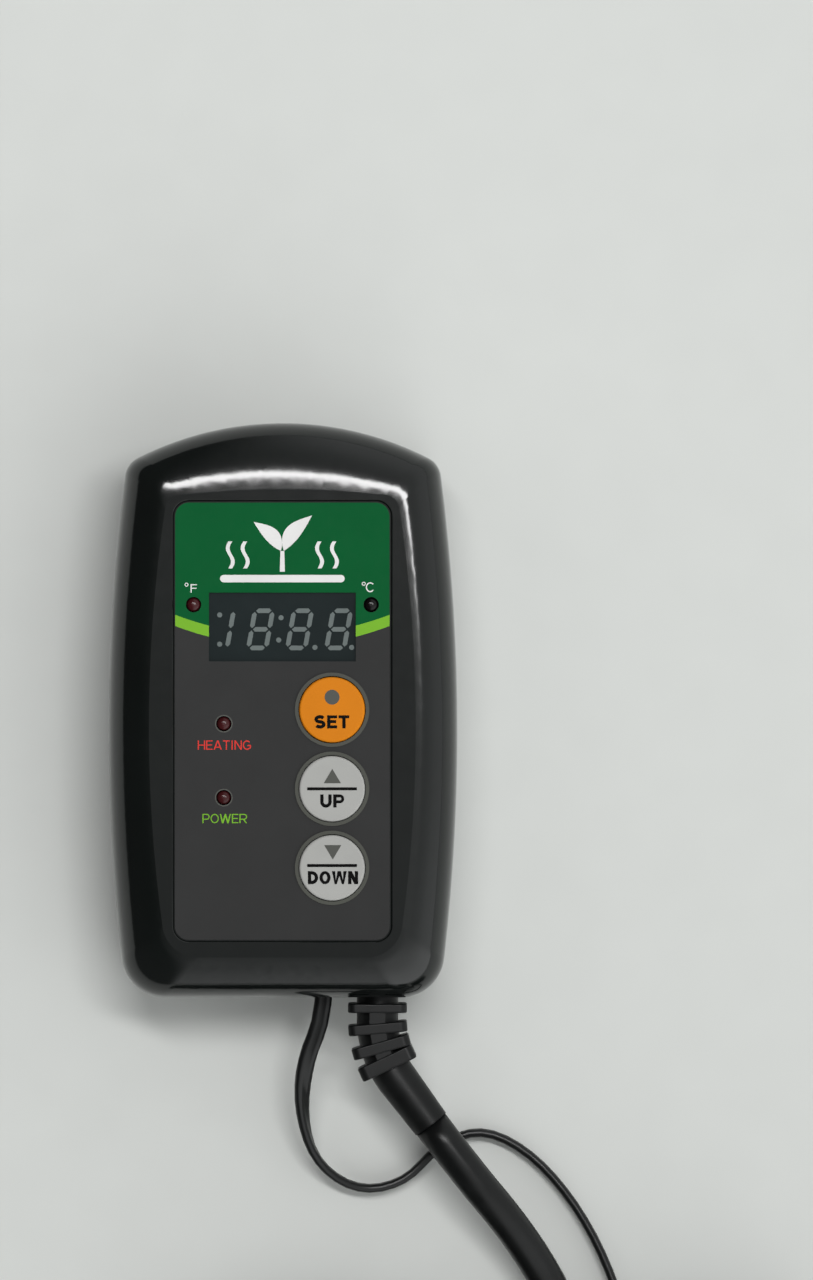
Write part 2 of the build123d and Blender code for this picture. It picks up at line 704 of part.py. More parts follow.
# ---------------------------------------------------------------- power board and its parts
with BuildPart() as power_board:
    with BuildSketch(Plane.XY.offset(POWER_BOARD_Z)):
        with Locations((0, POWER_BOARD_Y)):
            RectangleRounded(POWER_BOARD_WIDTH, POWER_BOARD_LENGTH, BOARD_CORNER)
        with Locations(*POWER_SCREWS):
            Circle(BOARD_HOLE, mode=Mode.SUBTRACT)
    extrude(amount=BOARD_THICKNESS)
save(power_board.part, "power_board")

with BuildPart() as power_screws:
    for x, y in POWER_SCREWS:
        with BuildSketch(Plane.XY.offset(POWER_BOARD_TOP)):
            with Locations((x, y)):
                Circle(BOARD_SCREW_HEAD)
        extrude(amount=BOARD_SCREW_HEAD_HEIGHT)
        with BuildSketch(Plane.XY.offset(POWER_BOARD_TOP)):
            with Locations((x, y)):
                Circle(PILOT_RADIUS)
        extrude(amount=-BOARD_THICKNESS - REAR_PILOT_DEPTH + 0.2)
save(power_screws.part, "power_board_screws")

with BuildPart() as transformer_core:
    with BuildSketch(Plane.XY.offset(CORE_Z)):
        with Locations(CORE_CENTRE):
            Rectangle(CORE_WIDTH, CORE_LENGTH)
            with GridLocations(CORE_WINDOW_GAP, 1, 2, 1):
                Rectangle(CORE_WINDOW_WIDTH, CORE_WINDOW_LENGTH, mode=Mode.SUBTRACT)
    extrude(amount=CORE_STACK)
save(transformer_core.part, "transformer_core")

with BuildPart() as transformer_winding:
    with BuildSketch(Plane.XY.offset(POWER_BOARD_TOP)):
        with Locations(CORE_CENTRE):
            Rectangle(WINDING_WIDTH, WINDING_LENGTH)
    extrude(amount=WINDING_HEIGHT)
    with BuildSketch(Plane.XY.offset(CORE_Z - CORE_CLEARANCE)):
        with Locations(CORE_CENTRE):
            Rectangle(LIMB_WIDTH + 2 * CORE_CLEARANCE, CORE_LENGTH)
    extrude(amount=CORE_STACK + 2 * CORE_CLEARANCE, mode=Mode.SUBTRACT)
save(transformer_winding.part, "transformer_winding")

with BuildPart() as relay:
    with BuildSketch(Plane.XY.offset(POWER_BOARD_TOP)):
        with Locations(RELAY_CENTRE):
            Rectangle(RELAY_WIDTH, RELAY_DEPTH)
    extrude(amount=RELAY_HEIGHT)
    fillet(relay.edges().filter_by(Axis.Z), RELAY_CORNER)
save(relay.part, "relay")

with BuildPart() as film_capacitor:
    with BuildSketch(Plane.XY.offset(POWER_BOARD_TOP)):
        with Locations(FILM_CENTRE):
            Rectangle(FILM_WIDTH, FILM_DEPTH)
    extrude(amount=FILM_HEIGHT)
    fillet(film_capacitor.edges().filter_by(Axis.Z), FILM_CORNER)
save(film_capacitor.part, "film_capacitor")

with BuildPart() as electrolytic_capacitors:
    for x, y, radius, height in CANS:
        with BuildSketch(Plane.XY.offset(POWER_BOARD_TOP)):
            with Locations((x, y)):
                Circle(radius)
        extrude(amount=height)
    fillet(electrolytic_capacitors.edges().filter_by(GeomType.CIRCLE), CAN_EDGE)
save(electrolytic_capacitors.part, "electrolytic_capacitors")

with BuildPart() as fuse:
    with Locations(Location((FUSE_X, FUSE_Y, FUSE_Z), (0, 90, 0))):
        Cylinder(FUSE_RADIUS, FUSE_LENGTH)
save(fuse.part, "fuse")

with BuildPart() as fuse_clips:
    for x in CLIP_XS:
        with Locations((x, FUSE_Y, (POWER_BOARD_TOP + FUSE_Z) / 2)):
            Box(CLIP_WIDTH, CLIP_DEPTH, FUSE_Z - POWER_BOARD_TOP)
        with Locations(Location((x, FUSE_Y, FUSE_Z), (0, 90, 0))):
            Cylinder(FUSE_RADIUS, 2 * CLIP_WIDTH, mode=Mode.SUBTRACT)
save(fuse_clips.part, "fuse_clips")

with BuildPart() as varistor:
    with Locations(Location((VARISTOR_X, FUSE_Y, POWER_BOARD_TOP + VARISTOR_RADIUS), (90, 0, 0))):
        Cylinder(VARISTOR_RADIUS, VARISTOR_THICKNESS)
    fillet(varistor.edges().filter_by(GeomType.CIRCLE), VARISTOR_EDGE)
save(varistor.part, "varistor")

with BuildPart() as rectifier_diodes:
    with Locations((*DIODES_CENTRE, POWER_BOARD_TOP + DIODE_RADIUS)):
        with GridLocations(1, DIODE_PITCH, 1, 4):
            Cylinder(DIODE_RADIUS, DIODE_LENGTH, rotation=(0, 90, 0))
save(rectifier_diodes.part, "rectifier_diodes")

with BuildPart() as board_link:
    with BuildSketch(Plane.XY.offset(POWER_BOARD_TOP)):
        with Locations(LINK_CENTRE):
            Rectangle(LINK_WIDTH, LINK_SIDE)
    extrude(amount=LINK_SIDE)
    with BuildSketch(Plane.XY.offset(POWER_BOARD_TOP + LINK_SIDE)):
        with Locations(LINK_CENTRE):
            with GridLocations(PIN_PITCH, 1, LINK_PINS, 1):
                Rectangle(LINK_PIN_SIDE, LINK_PIN_SIDE)
    extrude(amount=DISPLAY_BOARD_Z - POWER_BOARD_TOP - LINK_SIDE)
save(board_link.part, "board_link_header")

with BuildPart() as mains_terminals:
    with BuildSketch(Plane.XY.offset(POWER_BOARD_TOP)):
        with Locations(*[(x, TERMINAL_Y) for x in TERMINAL_XS]):
            Rectangle(TERMINAL_WIDTH, TERMINAL_DEPTH)
    extrude(amount=TERMINAL_HEIGHT)
save(mains_terminals.part, "mains_terminals")

with BuildPart() as probe_connector:
    with BuildSketch(Plane.XY.offset(DISPLAY_BOARD_Z)):
        with Locations(PROBE_SOCKET_CENTRE):
            Rectangle(PROBE_SOCKET_WIDTH, PROBE_SOCKET_DEPTH)
    extrude(amount=-PROBE_SOCKET_HEIGHT)
save(probe_connector.part, "probe_connector")


# ---------------------------------------------------------------- cords
def route_radii(points):
    """The largest arc for each corner: 0.45 of the shorter run over the tangent of half the turn."""
    radii = []
    for before, corner, after in zip(points, points[1:], points[2:]):
        run_in = Vector(corner) - Vector(before)
        run_out = Vector(after) - Vector(corner)
        half_turn = radians(run_in.get_angle(run_out) / 2)
        radii.append(0.45 * min(run_in.length, run_out.length) / tan(half_turn))
    return radii


def cord_tube(points, diameter):
    """A round cord along straight runs joined by tangent arcs."""
    with BuildPart() as tube:
        with BuildLine() as path:
            FilletPolyline(*points, radius=route_radii(points))
        with BuildSketch(Plane(points[0], z_dir=Vector(points[1]) - Vector(points[0]))):
            Circle(diameter / 2)
        sweep(path=path.wires()[0])
    area = pi * diameter**2 / 4
    radii = route_radii(points)
    print(
        f"tube {diameter} mm: length {path.wires()[0].length:.1f},"
        f" least radius {min(radii):.1f},"
        f" volume ratio {tube.part.volume / (area * path.wires()[0].length):.4f}"
    )
    return tube.part


def coil_ring(centre, radii, levels, diameter):
    """The solid outline of a wound coil: a ring with a round-cornered section."""
    with BuildPart() as ring:
        width = radii[-1] - radii[0] + diameter
        height = levels[-1] - levels[0] + diameter
        with BuildSketch(Plane.XZ.offset(-centre[1])):
            with Locations((centre[0] + (radii[0] + radii[-1]) / 2, (levels[0] + levels[-1]) / 2)):
                RectangleRounded(width, height, 0.45 * diameter)
        revolve(axis=Axis((centre[0], centre[1], 0), (0, 0, 1)))
    return ring.part


def coil_ties(centre, radii, levels, diameter, angles):
    """Flat bands round the bundle of turns."""
    width = radii[-1] - radii[0] + diameter + 2 * TIE_GAP
    height = levels[-1] - levels[0] + diameter + 2 * TIE_LIFT
    low = levels[0] - diameter / 2 - TIE_LIFT
    middle = ((radii[0] + radii[-1]) / 2, 0, low + height / 2)
    with BuildPart() as ties:
        for angle in angles:
            with Locations(Location((centre[0], centre[1], 0), angle)):
                with Locations(middle):
                    Box(width + 2 * TIE_THICKNESS, TIE_WIDTH, height + 2 * TIE_THICKNESS)
        for angle in angles:
            with Locations(Location((centre[0], centre[1], 0), angle)):
                with Locations(middle):
                    Box(width, TIE_WIDTH, height, mode=Mode.SUBTRACT)
    return ties.part


RELIEF_CORNER_Y = BOTTOM_Y - RELIEF_STRAIGHT
BEND_CENTRE = (RELIEF_X + RELIEF_BEND, RELIEF_CORNER_Y)
BEND_END = (
    BEND_CENTRE[0] - RELIEF_BEND * cos(radians(RELIEF_TURN)),
    BEND_CENTRE[1] - RELIEF_BEND * sin(radians(RELIEF_TURN)),
)
CONE_DIRECTION = (sin(radians(RELIEF_TURN)), -cos(radians(RELIEF_TURN)), 0)


def relief_plane(distance):
    """A plane across the strain relief, a distance along it from the casing."""
    if distance <= RELIEF_STRAIGHT:
        return Plane((RELIEF_X, BOTTOM_Y - distance, PARTING_Z), (1, 0, 0), (0, -1, 0))
    turn = (distance - RELIEF_STRAIGHT) / RELIEF_BEND
    origin = (
        BEND_CENTRE[0] - RELIEF_BEND * cos(turn),
        BEND_CENTRE[1] - RELIEF_BEND * sin(turn),
        PARTING_Z,
    )
    return Plane(origin, (cos(turn), sin(turn), 0), (sin(turn), -cos(turn), 0))


BEND_AXIS = Axis((*BEND_CENTRE, PARTING_Z), (0, 0, 1))
SPINE_TURN = (RIBS[-1][0] - RELIEF_STRAIGHT) / (RELIEF_BEND * pi / 180)

with BuildPart() as power_relief:
    with BuildSketch(relief_plane(0)):
        Circle(RELIEF_CORE)
    extrude(amount=RELIEF_STRAIGHT)
    with BuildSketch(relief_plane(RELIEF_STRAIGHT)):
        Circle(RELIEF_CORE)
    revolve(axis=BEND_AXIS, revolution_arc=RELIEF_TURN)
    with BuildSketch(relief_plane(RIBS[0][0])):
        Rectangle(SPINE_WIDTH, SPINE_HEIGHT)
    extrude(amount=RELIEF_STRAIGHT - RIBS[0][0])
    with BuildSketch(relief_plane(RELIEF_STRAIGHT)):
        Rectangle(SPINE_WIDTH, SPINE_HEIGHT)
    revolve(axis=BEND_AXIS, revolution_arc=SPINE_TURN)
    for rib_at, rib_thickness in RIBS:
        with BuildPart(mode=Mode.PRIVATE) as rib:
            with BuildSketch(relief_plane(rib_at)):
                RectangleRounded(RIB_WIDTH, RIB_HEIGHT, RIB_CORNER)
            extrude(amount=rib_thickness / 2, both=True)
            fillet(rib.edges(), RIB_EDGE)
        add(rib.part)
    with BuildSketch(Plane((*BEND_END, PARTING_Z), z_dir=CONE_DIRECTION)):
        Circle(RELIEF_CORE)
    cone_end = Vector(*BEND_END, PARTING_Z) + Vector(*CONE_DIRECTION) * RELIEF_CONE
    with BuildSketch(Plane(cone_end, z_dir=CONE_DIRECTION)):
        Circle(RELIEF_TIP)
    loft()
    with BuildSketch(relief_plane(0)):
        Circle(RELIEF_NECK)
    extrude(amount=-RELIEF_NECK_LENGTH)
    with BuildSketch(relief_plane(-RELIEF_NECK_LENGTH)):
        Circle(RELIEF_FLANGE)
    extrude(amount=-RELIEF_FLANGE_THICKNESS)
save(power_relief.part, "power_strain_relief")

with BuildPart() as power_cord:
    for route in (POWER_ROUTE, POWER_TAIL):
        add(cord_tube(route, CORD_DIAMETER))
save(power_cord.part, "power_cord")
save(
    coil_ring(POWER_COIL_CENTRE, POWER_COIL_RADII, POWER_COIL_LEVELS, CORD_DIAMETER),
    "power_cord_coil",
)
save(
    coil_ties(
        POWER_COIL_CENTRE, POWER_COIL_RADII, POWER_COIL_LEVELS, CORD_DIAMETER, (150, 290)
    ),
    "power_cord_ties",
)
save(cord_tube(LEAD_ROUTE, LEAD_WIDTH), "probe_lead")
save(coil_ring(LEAD_COIL_CENTRE, LEAD_COIL_RADII, LEAD_COIL_LEVELS, LEAD_WIDTH), "probe_lead_coil")
save(
    coil_ties(LEAD_COIL_CENTRE, LEAD_COIL_RADII, LEAD_COIL_LEVELS, LEAD_WIDTH, (20, 230)),
    "probe_lead_ties",
)

with BuildPart() as probe_boot:
    with Locations(Location((BOOT_X, PROBE_Y, PROBE_Z), (0, -90, 0))):
        Cone(LEAD_WIDTH / 2, BOOT_RADIUS, BOOT_LENGTH, align=(Align.CENTER, Align.CENTER, Align.MIN))
save(probe_boot.part, "probe_boot")

with BuildPart() as probe_tip:
    with Locations(Location((BOOT_X - BOOT_LENGTH, PROBE_Y, PROBE_Z), (0, -90, 0))):
        Cylinder(PROBE_RADIUS, PROBE_LENGTH, align=(Align.CENTER, Align.CENTER, Align.MIN))
    fillet(probe_tip.edges().group_by(Axis.X)[0], PROBE_RADIUS - 0.1)
save(probe_tip.part, "probe_tip")

with BuildPart() as lead_clamp:
    clamp_base = CLAMP_Z - CLAMP_HEIGHT / 2
    with Locations((LEAD_X, CLAMP_Y, CLAMP_Z)):
        Box(CLAMP_WIDTH, CLAMP_DEPTH, CLAMP_HEIGHT)
    with Locations(Location((LEAD_X, CLAMP_Y, PARTING_Z), (90, 0, 0))):
        Cylinder(LEAD_WIDTH / 2 + 0.05, 2 * CLAMP_DEPTH, mode=Mode.SUBTRACT)
    with Locations((LEAD_X, CLAMP_Y, (WALL + clamp_base) / 2)):
        Box(CLAMP_STEM_WIDTH, CLAMP_STEM_DEPTH, clamp_base - WALL)
save(lead_clamp.part, "probe_lead_clamp")

# ---------------------------------------------------------------- plug with an outlet in its back
PLUG_FACE_X = PLUG_X + PLUG_THICKNESS / 2
OUTLET_FACE_X = PLUG_X - PLUG_THICKNESS / 2


def prong_marks(half_gap, line_width, neutral_width, height, hole):
    """The two flat prongs and the round ground pin, or the slots for them, on a face of the plug."""
    with Locations((BLADES_Y, PLUG_Z + half_gap)):
        Rectangle(line_width, height)
    with Locations((BLADES_Y, PLUG_Z - half_gap)):
        Rectangle(neutral_width, height)
    with Locations((GROUND_Y, PLUG_Z)):
        Circle(hole)


with BuildPart() as plug_body:
    with Locations((PLUG_X, PLUG_Y, PLUG_Z)):
        Box(PLUG_THICKNESS, PLUG_LENGTH, PLUG_WIDTH)
    fillet(plug_body.edges(), PLUG_EDGE)
    with BuildSketch(Plane.YZ.offset(OUTLET_FACE_X)):
        with Locations((PLUG_Y, PLUG_Z)):
            RectangleRounded(INSERT_LENGTH, INSERT_WIDTH, INSERT_CORNER)
    extrude(amount=INSERT_THICKNESS, mode=Mode.SUBTRACT)
    with BuildSketch(Plane.YZ.offset(OUTLET_FACE_X)):
        prong_marks(BLADE_SPACING / 2, LINE_SLOT, NEUTRAL_SLOT, SLOT_WIDTH, GROUND_HOLE)
    extrude(amount=OUTLET_DEPTH, mode=Mode.SUBTRACT)
    with BuildSketch(Plane.YZ.offset(PLUG_FACE_X)):
        prong_marks(BLADE_SPACING / 2, BLADE_WIDTH, BLADE_WIDTH, BLADE_THICKNESS, GROUND_ROOT)
    extrude(amount=-BLADE_ROOT, mode=Mode.SUBTRACT)
save(plug_body.part, "plug_body")

with BuildPart() as outlet_insert:
    with BuildSketch(Plane.YZ.offset(OUTLET_FACE_X)):
        with Locations((PLUG_Y, PLUG_Z)):
            RectangleRounded(INSERT_LENGTH, INSERT_WIDTH, INSERT_CORNER)
    extrude(amount=INSERT_THICKNESS)
    with BuildSketch(Plane.YZ.offset(OUTLET_FACE_X)):
        prong_marks(BLADE_SPACING / 2, LINE_SLOT, NEUTRAL_SLOT, SLOT_WIDTH, GROUND_HOLE)
    extrude(amount=INSERT_THICKNESS, mode=Mode.SUBTRACT)
save(outlet_insert.part, "outlet_insert")

with BuildPart() as outlet_contacts:
    with BuildSketch(Plane.YZ.offset(OUTLET_FACE_X + OUTLET_DEPTH)):
        prong_marks(BLADE_SPACING / 2, CONTACT_WIDTH, CONTACT_WIDTH, CONTACT_THICKNESS, GROUND_CONTACT)
    extrude(amount=-CONTACT_LENGTH)
save(outlet_contacts.part, "outlet_contacts")


def plug_blade(side):
    """A flat prong with a rounded end and a small hole near it."""
    with BuildPart() as blade:
        with BuildSketch(Plane.XY.offset(PLUG_Z + side * BLADE_SPACING / 2 - BLADE_THICKNESS / 2)):
            with Locations((PLUG_FACE_X + (BLADE_LENGTH - BLADE_ROOT) / 2, BLADES_Y)):
                Rectangle(BLADE_LENGTH + BLADE_ROOT, BLADE_WIDTH)
            with Locations((PLUG_FACE_X + BLADE_LENGTH - BLADE_HOLE_INSET, BLADES_Y)):
                Circle(BLADE_HOLE, mode=Mode.SUBTRACT)
        extrude(amount=BLADE_THICKNESS)
        ends = blade.edges().filter_by(Axis.Z).group_by(Axis.X)[-1]
        chamfer(ends, BLADE_CHAMFER)
    return blade.part


save(plug_blade(1), "plug_line_blade")
save(plug_blade(-1), "plug_neutral_blade")

with BuildPart() as ground_pin:
    with BuildSketch(Plane.YZ.offset(PLUG_FACE_X)):
        with Locations((GROUND_Y, PLUG_Z)):
            Circle(GROUND_RADIUS)
    extrude(amount=GROUND_LENGTH)
    fillet(ground_pin.edges().group_by(Axis.X)[-1], GROUND_RADIUS - 0.2)
    with BuildSketch(Plane.YZ.offset(PLUG_FACE_X)):
        with Locations((GROUND_Y, PLUG_Z)):
            Circle(GROUND_ROOT)
    extrude(amount=-BLADE_ROOT)
save(ground_pin.part, "plug_ground_pin")

with BuildPart() as plug_relief:
    with Locations(Location((PLUG_X, PLUG_TOP_Y, PLUG_Z), (-90, 0, 0))):
        Cone(
            PLUG_RELIEF_WIDE,
            PLUG_RELIEF_NARROW,
            PLUG_RELIEF,
            align=(Align.CENTER, Align.CENTER, Align.MIN),
        )
    for groove in range(GROOVE_COUNT):
        groove_y = PLUG_TOP_Y + GROOVE_START + GROOVE_PITCH * groove
        with Locations(Location((PLUG_X, groove_y, PLUG_Z), (-90, 0, 0))):
            Cylinder(2 * PLUG_RELIEF_WIDE, GROOVE_WIDTH, mode=Mode.SUBTRACT)
            Cylinder(PLUG_RELIEF_CORE, GROOVE_WIDTH + 0.2)
save(plug_relief.part, "plug_strain_relief")


# ---------------------------------------------------------------- wires inside the casing
WIRE_DIAMETER = 2.0
PROBE_WIRE_DIAMETER = 1.2
PROBE_WIRE_OFFSET = 0.8
LEAD_END_Y = -51.9
INNER_END_Y = BOTTOM_Y + RELIEF_NECK_LENGTH + RELIEF_FLANGE_THICKNESS
for offset, terminal_x, wire_name in (
    (-5.0, TERMINAL_XS[0], "line_wire"),
    (-2.6, TERMINAL_XS[1], "switched_wire"),
    (-0.2, TERMINAL_XS[2], "neutral_wire"),
):
    wire_points = [
        (RELIEF_X + offset, INNER_END_Y, PARTING_Z),
        (RELIEF_X + offset, INNER_END_Y + 9.0, PARTING_Z - 0.5),
        (terminal_x + 0.3, -34.0, POWER_BOARD_TOP + 5.0),
        (terminal_x, TERMINAL_Y - 3.0, POWER_BOARD_TOP + 3.0),
    ]
    save(cord_tube(wire_points, WIRE_DIAMETER), wire_name)
with BuildPart() as probe_wires:
    for offset in (-PROBE_WIRE_OFFSET, PROBE_WIRE_OFFSET):
        add(
            cord_tube(
                [
                    (LEAD_X + offset, LEAD_END_Y, PARTING_Z + offset),
                    (LEAD_X + offset - 0.6, -46.0, PARTING_Z + 0.3 + offset),
                    (0.5 + offset, -44.0, PARTING_Z + 2.5 + offset),
                    (-1.5 + offset, -41.4, PARTING_Z + 3.8 + offset),
                ],
                PROBE_WIRE_DIAMETER,
            )
        )
save(probe_wires.part, "probe_wires")
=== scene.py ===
import math

import bpy
from mathutils import Matrix, Vector


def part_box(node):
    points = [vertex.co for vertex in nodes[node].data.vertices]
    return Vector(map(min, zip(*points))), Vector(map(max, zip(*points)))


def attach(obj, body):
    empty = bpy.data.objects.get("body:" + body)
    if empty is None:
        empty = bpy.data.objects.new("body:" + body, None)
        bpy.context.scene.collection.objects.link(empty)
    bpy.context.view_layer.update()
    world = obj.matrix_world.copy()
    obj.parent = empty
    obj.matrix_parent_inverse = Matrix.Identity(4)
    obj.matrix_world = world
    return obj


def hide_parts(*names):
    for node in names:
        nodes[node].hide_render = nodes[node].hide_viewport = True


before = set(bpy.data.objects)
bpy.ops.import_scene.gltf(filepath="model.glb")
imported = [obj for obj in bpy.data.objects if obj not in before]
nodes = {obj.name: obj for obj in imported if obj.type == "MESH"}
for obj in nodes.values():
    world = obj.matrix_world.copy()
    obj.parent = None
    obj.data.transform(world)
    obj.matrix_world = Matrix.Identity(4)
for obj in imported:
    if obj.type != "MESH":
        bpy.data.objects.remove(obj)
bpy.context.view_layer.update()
scene = bpy.context.scene
MM = 0.001


# ---------------------------------------------------------------- camera
# In millimetres: the middle and height of the view, its level, and the distance from it
VIEW_CENTRE = (26.7, 15.2)
VIEW_HEIGHT = 275.3
VIEW_LEVEL = 38.0
VIEW_DISTANCE = 2000.0
SENSOR = 36

camera = bpy.data.objects.new("camera", bpy.data.cameras.new("camera"))
scene.collection.objects.link(camera)
camera.location = Vector((*VIEW_CENTRE, VIEW_LEVEL + VIEW_DISTANCE)) * MM
camera.data.sensor_width = SENSOR
camera.data.lens = SENSOR * VIEW_DISTANCE / VIEW_HEIGHT
scene.camera = camera

# ---------------------------------------------------------------- cords
CORD_DIAMETER = 7.8
POWER_ROUTE = [
    (32.0, -89.9, 19.0),
    (40.4, -101.0, 19.0),
    (50.0, -112.5, 14.5),
    (58.5, -126.0, 8.0),
    (64.5, -141.0, 5.4),
    (66.6, -158.0, 4.9),
    (66.2, -176.0, 4.9),
]
POWER_TAIL = [
    (61.4, -160.4, 13.3),
    (69.2, -171.6, 14.9),
    (74.2, -184.8, 16.6),
    (76.0, -199.0, 17.0),
]
POWER_COIL_CENTRE = (16.0, -186.0)
POWER_TURNS = [(50.2, 4.9), (42.3, 4.9), (34.4, 4.9), (34.4, 12.7), (42.3, 12.7), (50.2, 12.7)]
POWER_TURNED = 1755
POWER_DIVISIONS = 5
POWER_SIDES = 24

LEAD_WIDTH = 3.8
LEAD_THICKNESS = 2.1
LEAD_ROUTE = [
    (9.1, -52.0, 19.0),
    (9.1, -66.0, 19.0),
    (4.6, -76.0, 16.8),
    (3.6, -87.5, 12.0),
    (6.6, -99.0, 6.6),
    (16.0, -105.6, 2.8),
    (26.5, -103.6, 2.0),
    (33.5, -95.5, 2.0),
    (43.0, -91.5, 2.0),
    (54.0, -97.0, 2.0),
    (64.0, -108.5, 2.0),
    (71.5, -123.0, 2.2),
    (76.0, -139.0, 2.9),
    (77.1, -155.0, 2.9),
]
LEAD_COIL_CENTRE = (100.0, -157.0)
LEAD_RADII = (22.9, 19.0, 15.1)
LEAD_LEVELS = (2.9, 6.8, 10.7, 14.6, 18.5)
LEAD_TURNED = 4950
LEAD_DIVISIONS = 4
LEAD_SIDES = 20
PROBE_LEVEL = 23.5
RISE_POINTS = 12

# A coil holds each radius and level for STATE_DEGREES, and moves to the next in the last
# SHIFT_DEGREES of them
STATE_DEGREES = 330
SHIFT_DEGREES = 120
STEP_DEGREES = 15


def eased(share):
    """A share from 0 to 1 that starts and ends gently."""
    return share * share * (3 - 2 * share)


def spline(name, points, divisions):
    """A curve along one smooth open spline with these control points, in millimetres."""
    curve = bpy.data.curves.new(name, "CURVE")
    curve.dimensions = "3D"
    curve.resolution_u = divisions
    line = curve.splines.new("NURBS")
    line.points.add(len(points) - 1)
    for control, point in zip(line.points, points):
        control.co = (*(Vector(point) * MM), 1)
    line.order_u = 3
    line.use_endpoint_u = True
    return curve


def winding(centre, states, start, turned, way, first=0):
    """Control points round a coil. Each state is a radius and a level, held for part of a turn."""
    points = []
    for degrees in range(first, turned + 1, STEP_DEGREES):
        index = min(degrees // STATE_DEGREES, len(states) - 1)
        radius, level = states[index]
        into = degrees - index * STATE_DEGREES - (STATE_DEGREES - SHIFT_DEGREES)
        if into > 0 and index + 1 < len(states):
            share = eased(into / SHIFT_DEGREES)
            radius += (states[index + 1][0] - radius) * share
            level += (states[index + 1][1] - level) * share
        angle = math.radians(start + way * degrees)
        points.append(
            (centre[0] + radius * math.cos(angle), centre[1] + radius * math.sin(angle), level)
        )
    return points


def line_points(curve):
    """The points along a curve's own line, in metres. The curve isn't needed after this."""
    holder = bpy.data.objects.new("line", curve)
    mesh = bpy.data.meshes.new_from_object(holder)
    points = [vertex.co.copy() for vertex in mesh.vertices]
    bpy.data.meshes.remove(mesh)
    bpy.data.objects.remove(holder)
    bpy.data.curves.remove(curve)
    return points


def tube(name, line, section, sides, twist=lambda travelled: 0.0):
    """A closed mesh along a line in metres, with a section turned by an angle as it goes."""
    verts, faces = [], []
    travelled = 0.0
    for index, point in enumerate(line):
        before, after = line[max(index - 1, 0)], line[min(index + 1, len(line) - 1)]
        if index:
            travelled += (point - line[index - 1]).length
        along = (after - before).normalized()
        side = along.cross(Vector((0, 0, 1))).normalized()
        up = side.cross(along)
        turn = twist(travelled / MM)
        wide = side * math.cos(turn) + up * math.sin(turn)
        thin = along.cross(wide)
        for corner in range(sides):
            across, rise = section(2 * math.pi * corner / sides)
            verts.append(point + (wide * across + thin * rise) * MM)
    for ring in range(len(line) - 1):
        for corner in range(sides):
            a = ring * sides + corner
            b = ring * sides + (corner + 1) % sides
            faces.append((a, b, b + sides, a + sides))
    faces.append(tuple(reversed(range(sides))))
    faces.append(tuple(range(len(verts) - sides, len(verts))))
    mesh = bpy.data.meshes.new(name)
    mesh.from_pydata(verts, [], faces)
    mesh.validate()
    for polygon in mesh.polygons:
        polygon.use_smooth = len(polygon.vertices) == 4
    piece = bpy.data.objects.new(name, mesh)
    scene.collection.objects.link(piece)
    return piece


def cord_section(angle):
    """A point round the round power cord."""
    return CORD_DIAMETER / 2 * math.cos(angle), CORD_DIAMETER / 2 * math.sin(angle)


power_winding = winding(POWER_COIL_CENTRE, POWER_TURNS, start=0, turned=POWER_TURNED, way=-1)
power_curve = spline("power_route", POWER_ROUTE + power_winding + POWER_TAIL, POWER_DIVISIONS)
power_line = line_points(power_curve)
power_cable = tube("power_cable", power_line, cord_section, POWER_SIDES)
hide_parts("power_cord", "power_cord_coil")
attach(power_cable, "root")

lead_turns = []
for layer, level in enumerate(LEAD_LEVELS):
    radii = LEAD_RADII if layer % 2 == 0 else LEAD_RADII[::-1]
    lead_turns += [(radius, level) for radius in radii]
lead_winding = winding(
    LEAD_COIL_CENTRE, lead_turns, start=180, turned=LEAD_TURNED, way=1, first=STEP_DEGREES
)
# The last half turn rises to the probe, which lies on the coil
for step in range(1, RISE_POINTS + 1):
    x, y, level = lead_winding[step - RISE_POINTS - 1]
    level += (PROBE_LEVEL - LEAD_LEVELS[-1]) * eased(step / RISE_POINTS)
    lead_winding[step - RISE_POINTS - 1] = (x, y, level)
LEAD_END = (96.0, LEAD_COIL_CENTRE[1] + LEAD_RADII[-1], PROBE_LEVEL)
lead_curve = spline("lead_route", LEAD_ROUTE + lead_winding + [LEAD_END], LEAD_DIVISIONS)
lead_line = line_points(lead_curve)

TWIST_FROM = 16.0
TWIST_TO = 52.0
GROOVE_DEPTH = 0.24
GROOVE_WIDTH = 0.5
FLATNESS = 0.6


def lead_section(angle):
    """A point round the twin lead's section, with a shallow groove down each flat side."""
    across = LEAD_WIDTH / 2 * math.cos(angle)
    groove = 1 - GROOVE_DEPTH * math.exp(-((across / GROOVE_WIDTH) ** 2))
    rise = math.copysign(abs(math.sin(angle)) ** FLATNESS, math.sin(angle))
    return across, LEAD_THICKNESS / 2 * rise * groove


def lead_twist(travelled):
    """The lead leaves the casing flat and stands on edge by the time it reaches the floor."""
    share = min(max((travelled - TWIST_FROM) / (TWIST_TO - TWIST_FROM), 0.0), 1.0)
    return math.pi / 2 * eased(share)


probe_cable = tube("probe_cable", lead_line, lead_section, LEAD_SIDES, lead_twist)
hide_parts("probe_lead", "probe_lead_coil")
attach(probe_cable, "root")

# ---------------------------------------------------------------- floor and lights
FLOOR_REACH = 3.0
FLOOR_LEVEL = -0.0004
floor_mesh = bpy.data.meshes.new("floor")
floor_mesh.from_pydata(
    [
        (x * FLOOR_REACH, y * FLOOR_REACH, FLOOR_LEVEL)
        for x, y in ((-1, -1), (1, -1), (1, 1), (-1, 1))
    ],
    [],
    [(0, 1, 2, 3)],
)
floor = bpy.data.objects.new("floor", floor_mesh)
scene.collection.objects.link(floor)


